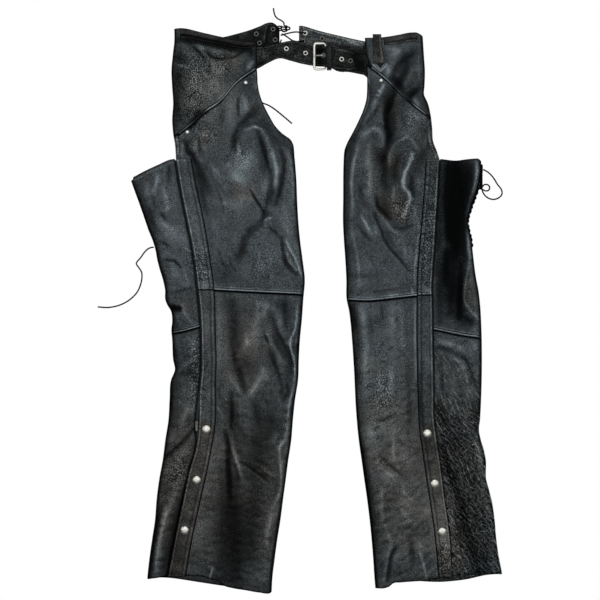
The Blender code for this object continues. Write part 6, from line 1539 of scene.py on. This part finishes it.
class CHAPS_OT_stage(bpy.types.Operator):
    """Adds the floor, the lights and the camera"""
    bl_idname = "chaps.stage"
    bl_label = "Stage"

    def execute(self, context):
        build_stage()
        return {"FINISHED"}


class CHAPS_OT_laces(bpy.types.Operator):
    """Adds the laces of the waist and the thighs"""
    bl_idname = "chaps.laces"
    bl_label = "Laces"

    def execute(self, context):
        build_laces()
        return {"FINISHED"}


class CHAPS_OT_fronts(bpy.types.Operator):
    """Adds the thigh and shin fronts"""
    bl_idname = "chaps.fronts"
    bl_label = "Fronts"

    def execute(self, context):
        build_fronts()
        return {"FINISHED"}


class CHAPS_OT_backs(bpy.types.Operator):
    """Adds the thigh and shin backs"""
    bl_idname = "chaps.backs"
    bl_label = "Backs"

    def execute(self, context):
        build_backs()
        return {"FINISHED"}


class CHAPS_OT_yokes(bpy.types.Operator):
    """Adds the hips' fronts and backs"""
    bl_idname = "chaps.yokes"
    bl_label = "Yokes"

    def execute(self, context):
        build_yokes()
        return {"FINISHED"}


class CHAPS_OT_strips(bpy.types.Operator):
    """Adds the plackets, waistbands and welts"""
    bl_idname = "chaps.strips"
    bl_label = "Strips"

    def execute(self, context):
        build_strips()
        return {"FINISHED"}


class CHAPS_OT_stitches(bpy.types.Operator):
    """Adds the stitches"""
    bl_idname = "chaps.stitches"
    bl_label = "Stitches"

    def execute(self, context):
        build_stitches()
        return {"FINISHED"}


class CHAPS_OT_zips(bpy.types.Operator):
    """Adds the zips' tapes and teeth"""
    bl_idname = "chaps.zips"
    bl_label = "Zips"

    def execute(self, context):
        build_zips()
        return {"FINISHED"}


class CHAPS_OT_studs(bpy.types.Operator):
    """Adds the snaps, rivets and eyelets"""
    bl_idname = "chaps.studs"
    bl_label = "Snaps, rivets and eyelets"

    def execute(self, context):
        build_studs()
        return {"FINISHED"}


class CHAPS_OT_belt(bpy.types.Operator):
    """Adds the belt with its buckle and keeper"""
    bl_idname = "chaps.belt"
    bl_label = "Belt"

    def execute(self, context):
        build_belt()
        return {"FINISHED"}


class CHAPS_OT_loop(bpy.types.Operator):
    """Adds the belt loop and its tab"""
    bl_idname = "chaps.loop"
    bl_label = "Belt loop"

    def execute(self, context):
        build_loop()
        return {"FINISHED"}


OPERATORS = (CHAPS_OT_stage, CHAPS_OT_laces, CHAPS_OT_backs, CHAPS_OT_yokes, CHAPS_OT_fronts, CHAPS_OT_strips,
             CHAPS_OT_stitches, CHAPS_OT_zips, CHAPS_OT_studs, CHAPS_OT_belt, CHAPS_OT_loop)


class CHAPS_PT_panel(bpy.types.Panel):
    """Lists the pieces and their settings"""
    bl_idname = "CHAPS_PT_panel"
    bl_label = "Leather Chaps"
    bl_space_type = "VIEW_3D"
    bl_region_type = "UI"
    bl_category = "Chaps"

    def draw(self, context):
        for name in ChapsSettings.__annotations__:
            self.layout.prop(context.scene.chaps, name)
        for operator in OPERATORS:
            self.layout.operator(operator.bl_idname)


CLASSES = (ChapsSettings, *OPERATORS, CHAPS_PT_panel)


def register():
    for cls in CLASSES:
        bpy.utils.register_class(cls)
    bpy.types.Scene.chaps = bpy.props.PointerProperty(type=ChapsSettings)


def unregister():
    del bpy.types.Scene.chaps
    for cls in reversed(CLASSES):
        bpy.utils.unregister_class(cls)


def main():
    register()
    for operator in OPERATORS:
        getattr(bpy.ops.chaps, operator.bl_idname.split(".")[1])()


if __name__ == "__main__":
    main()
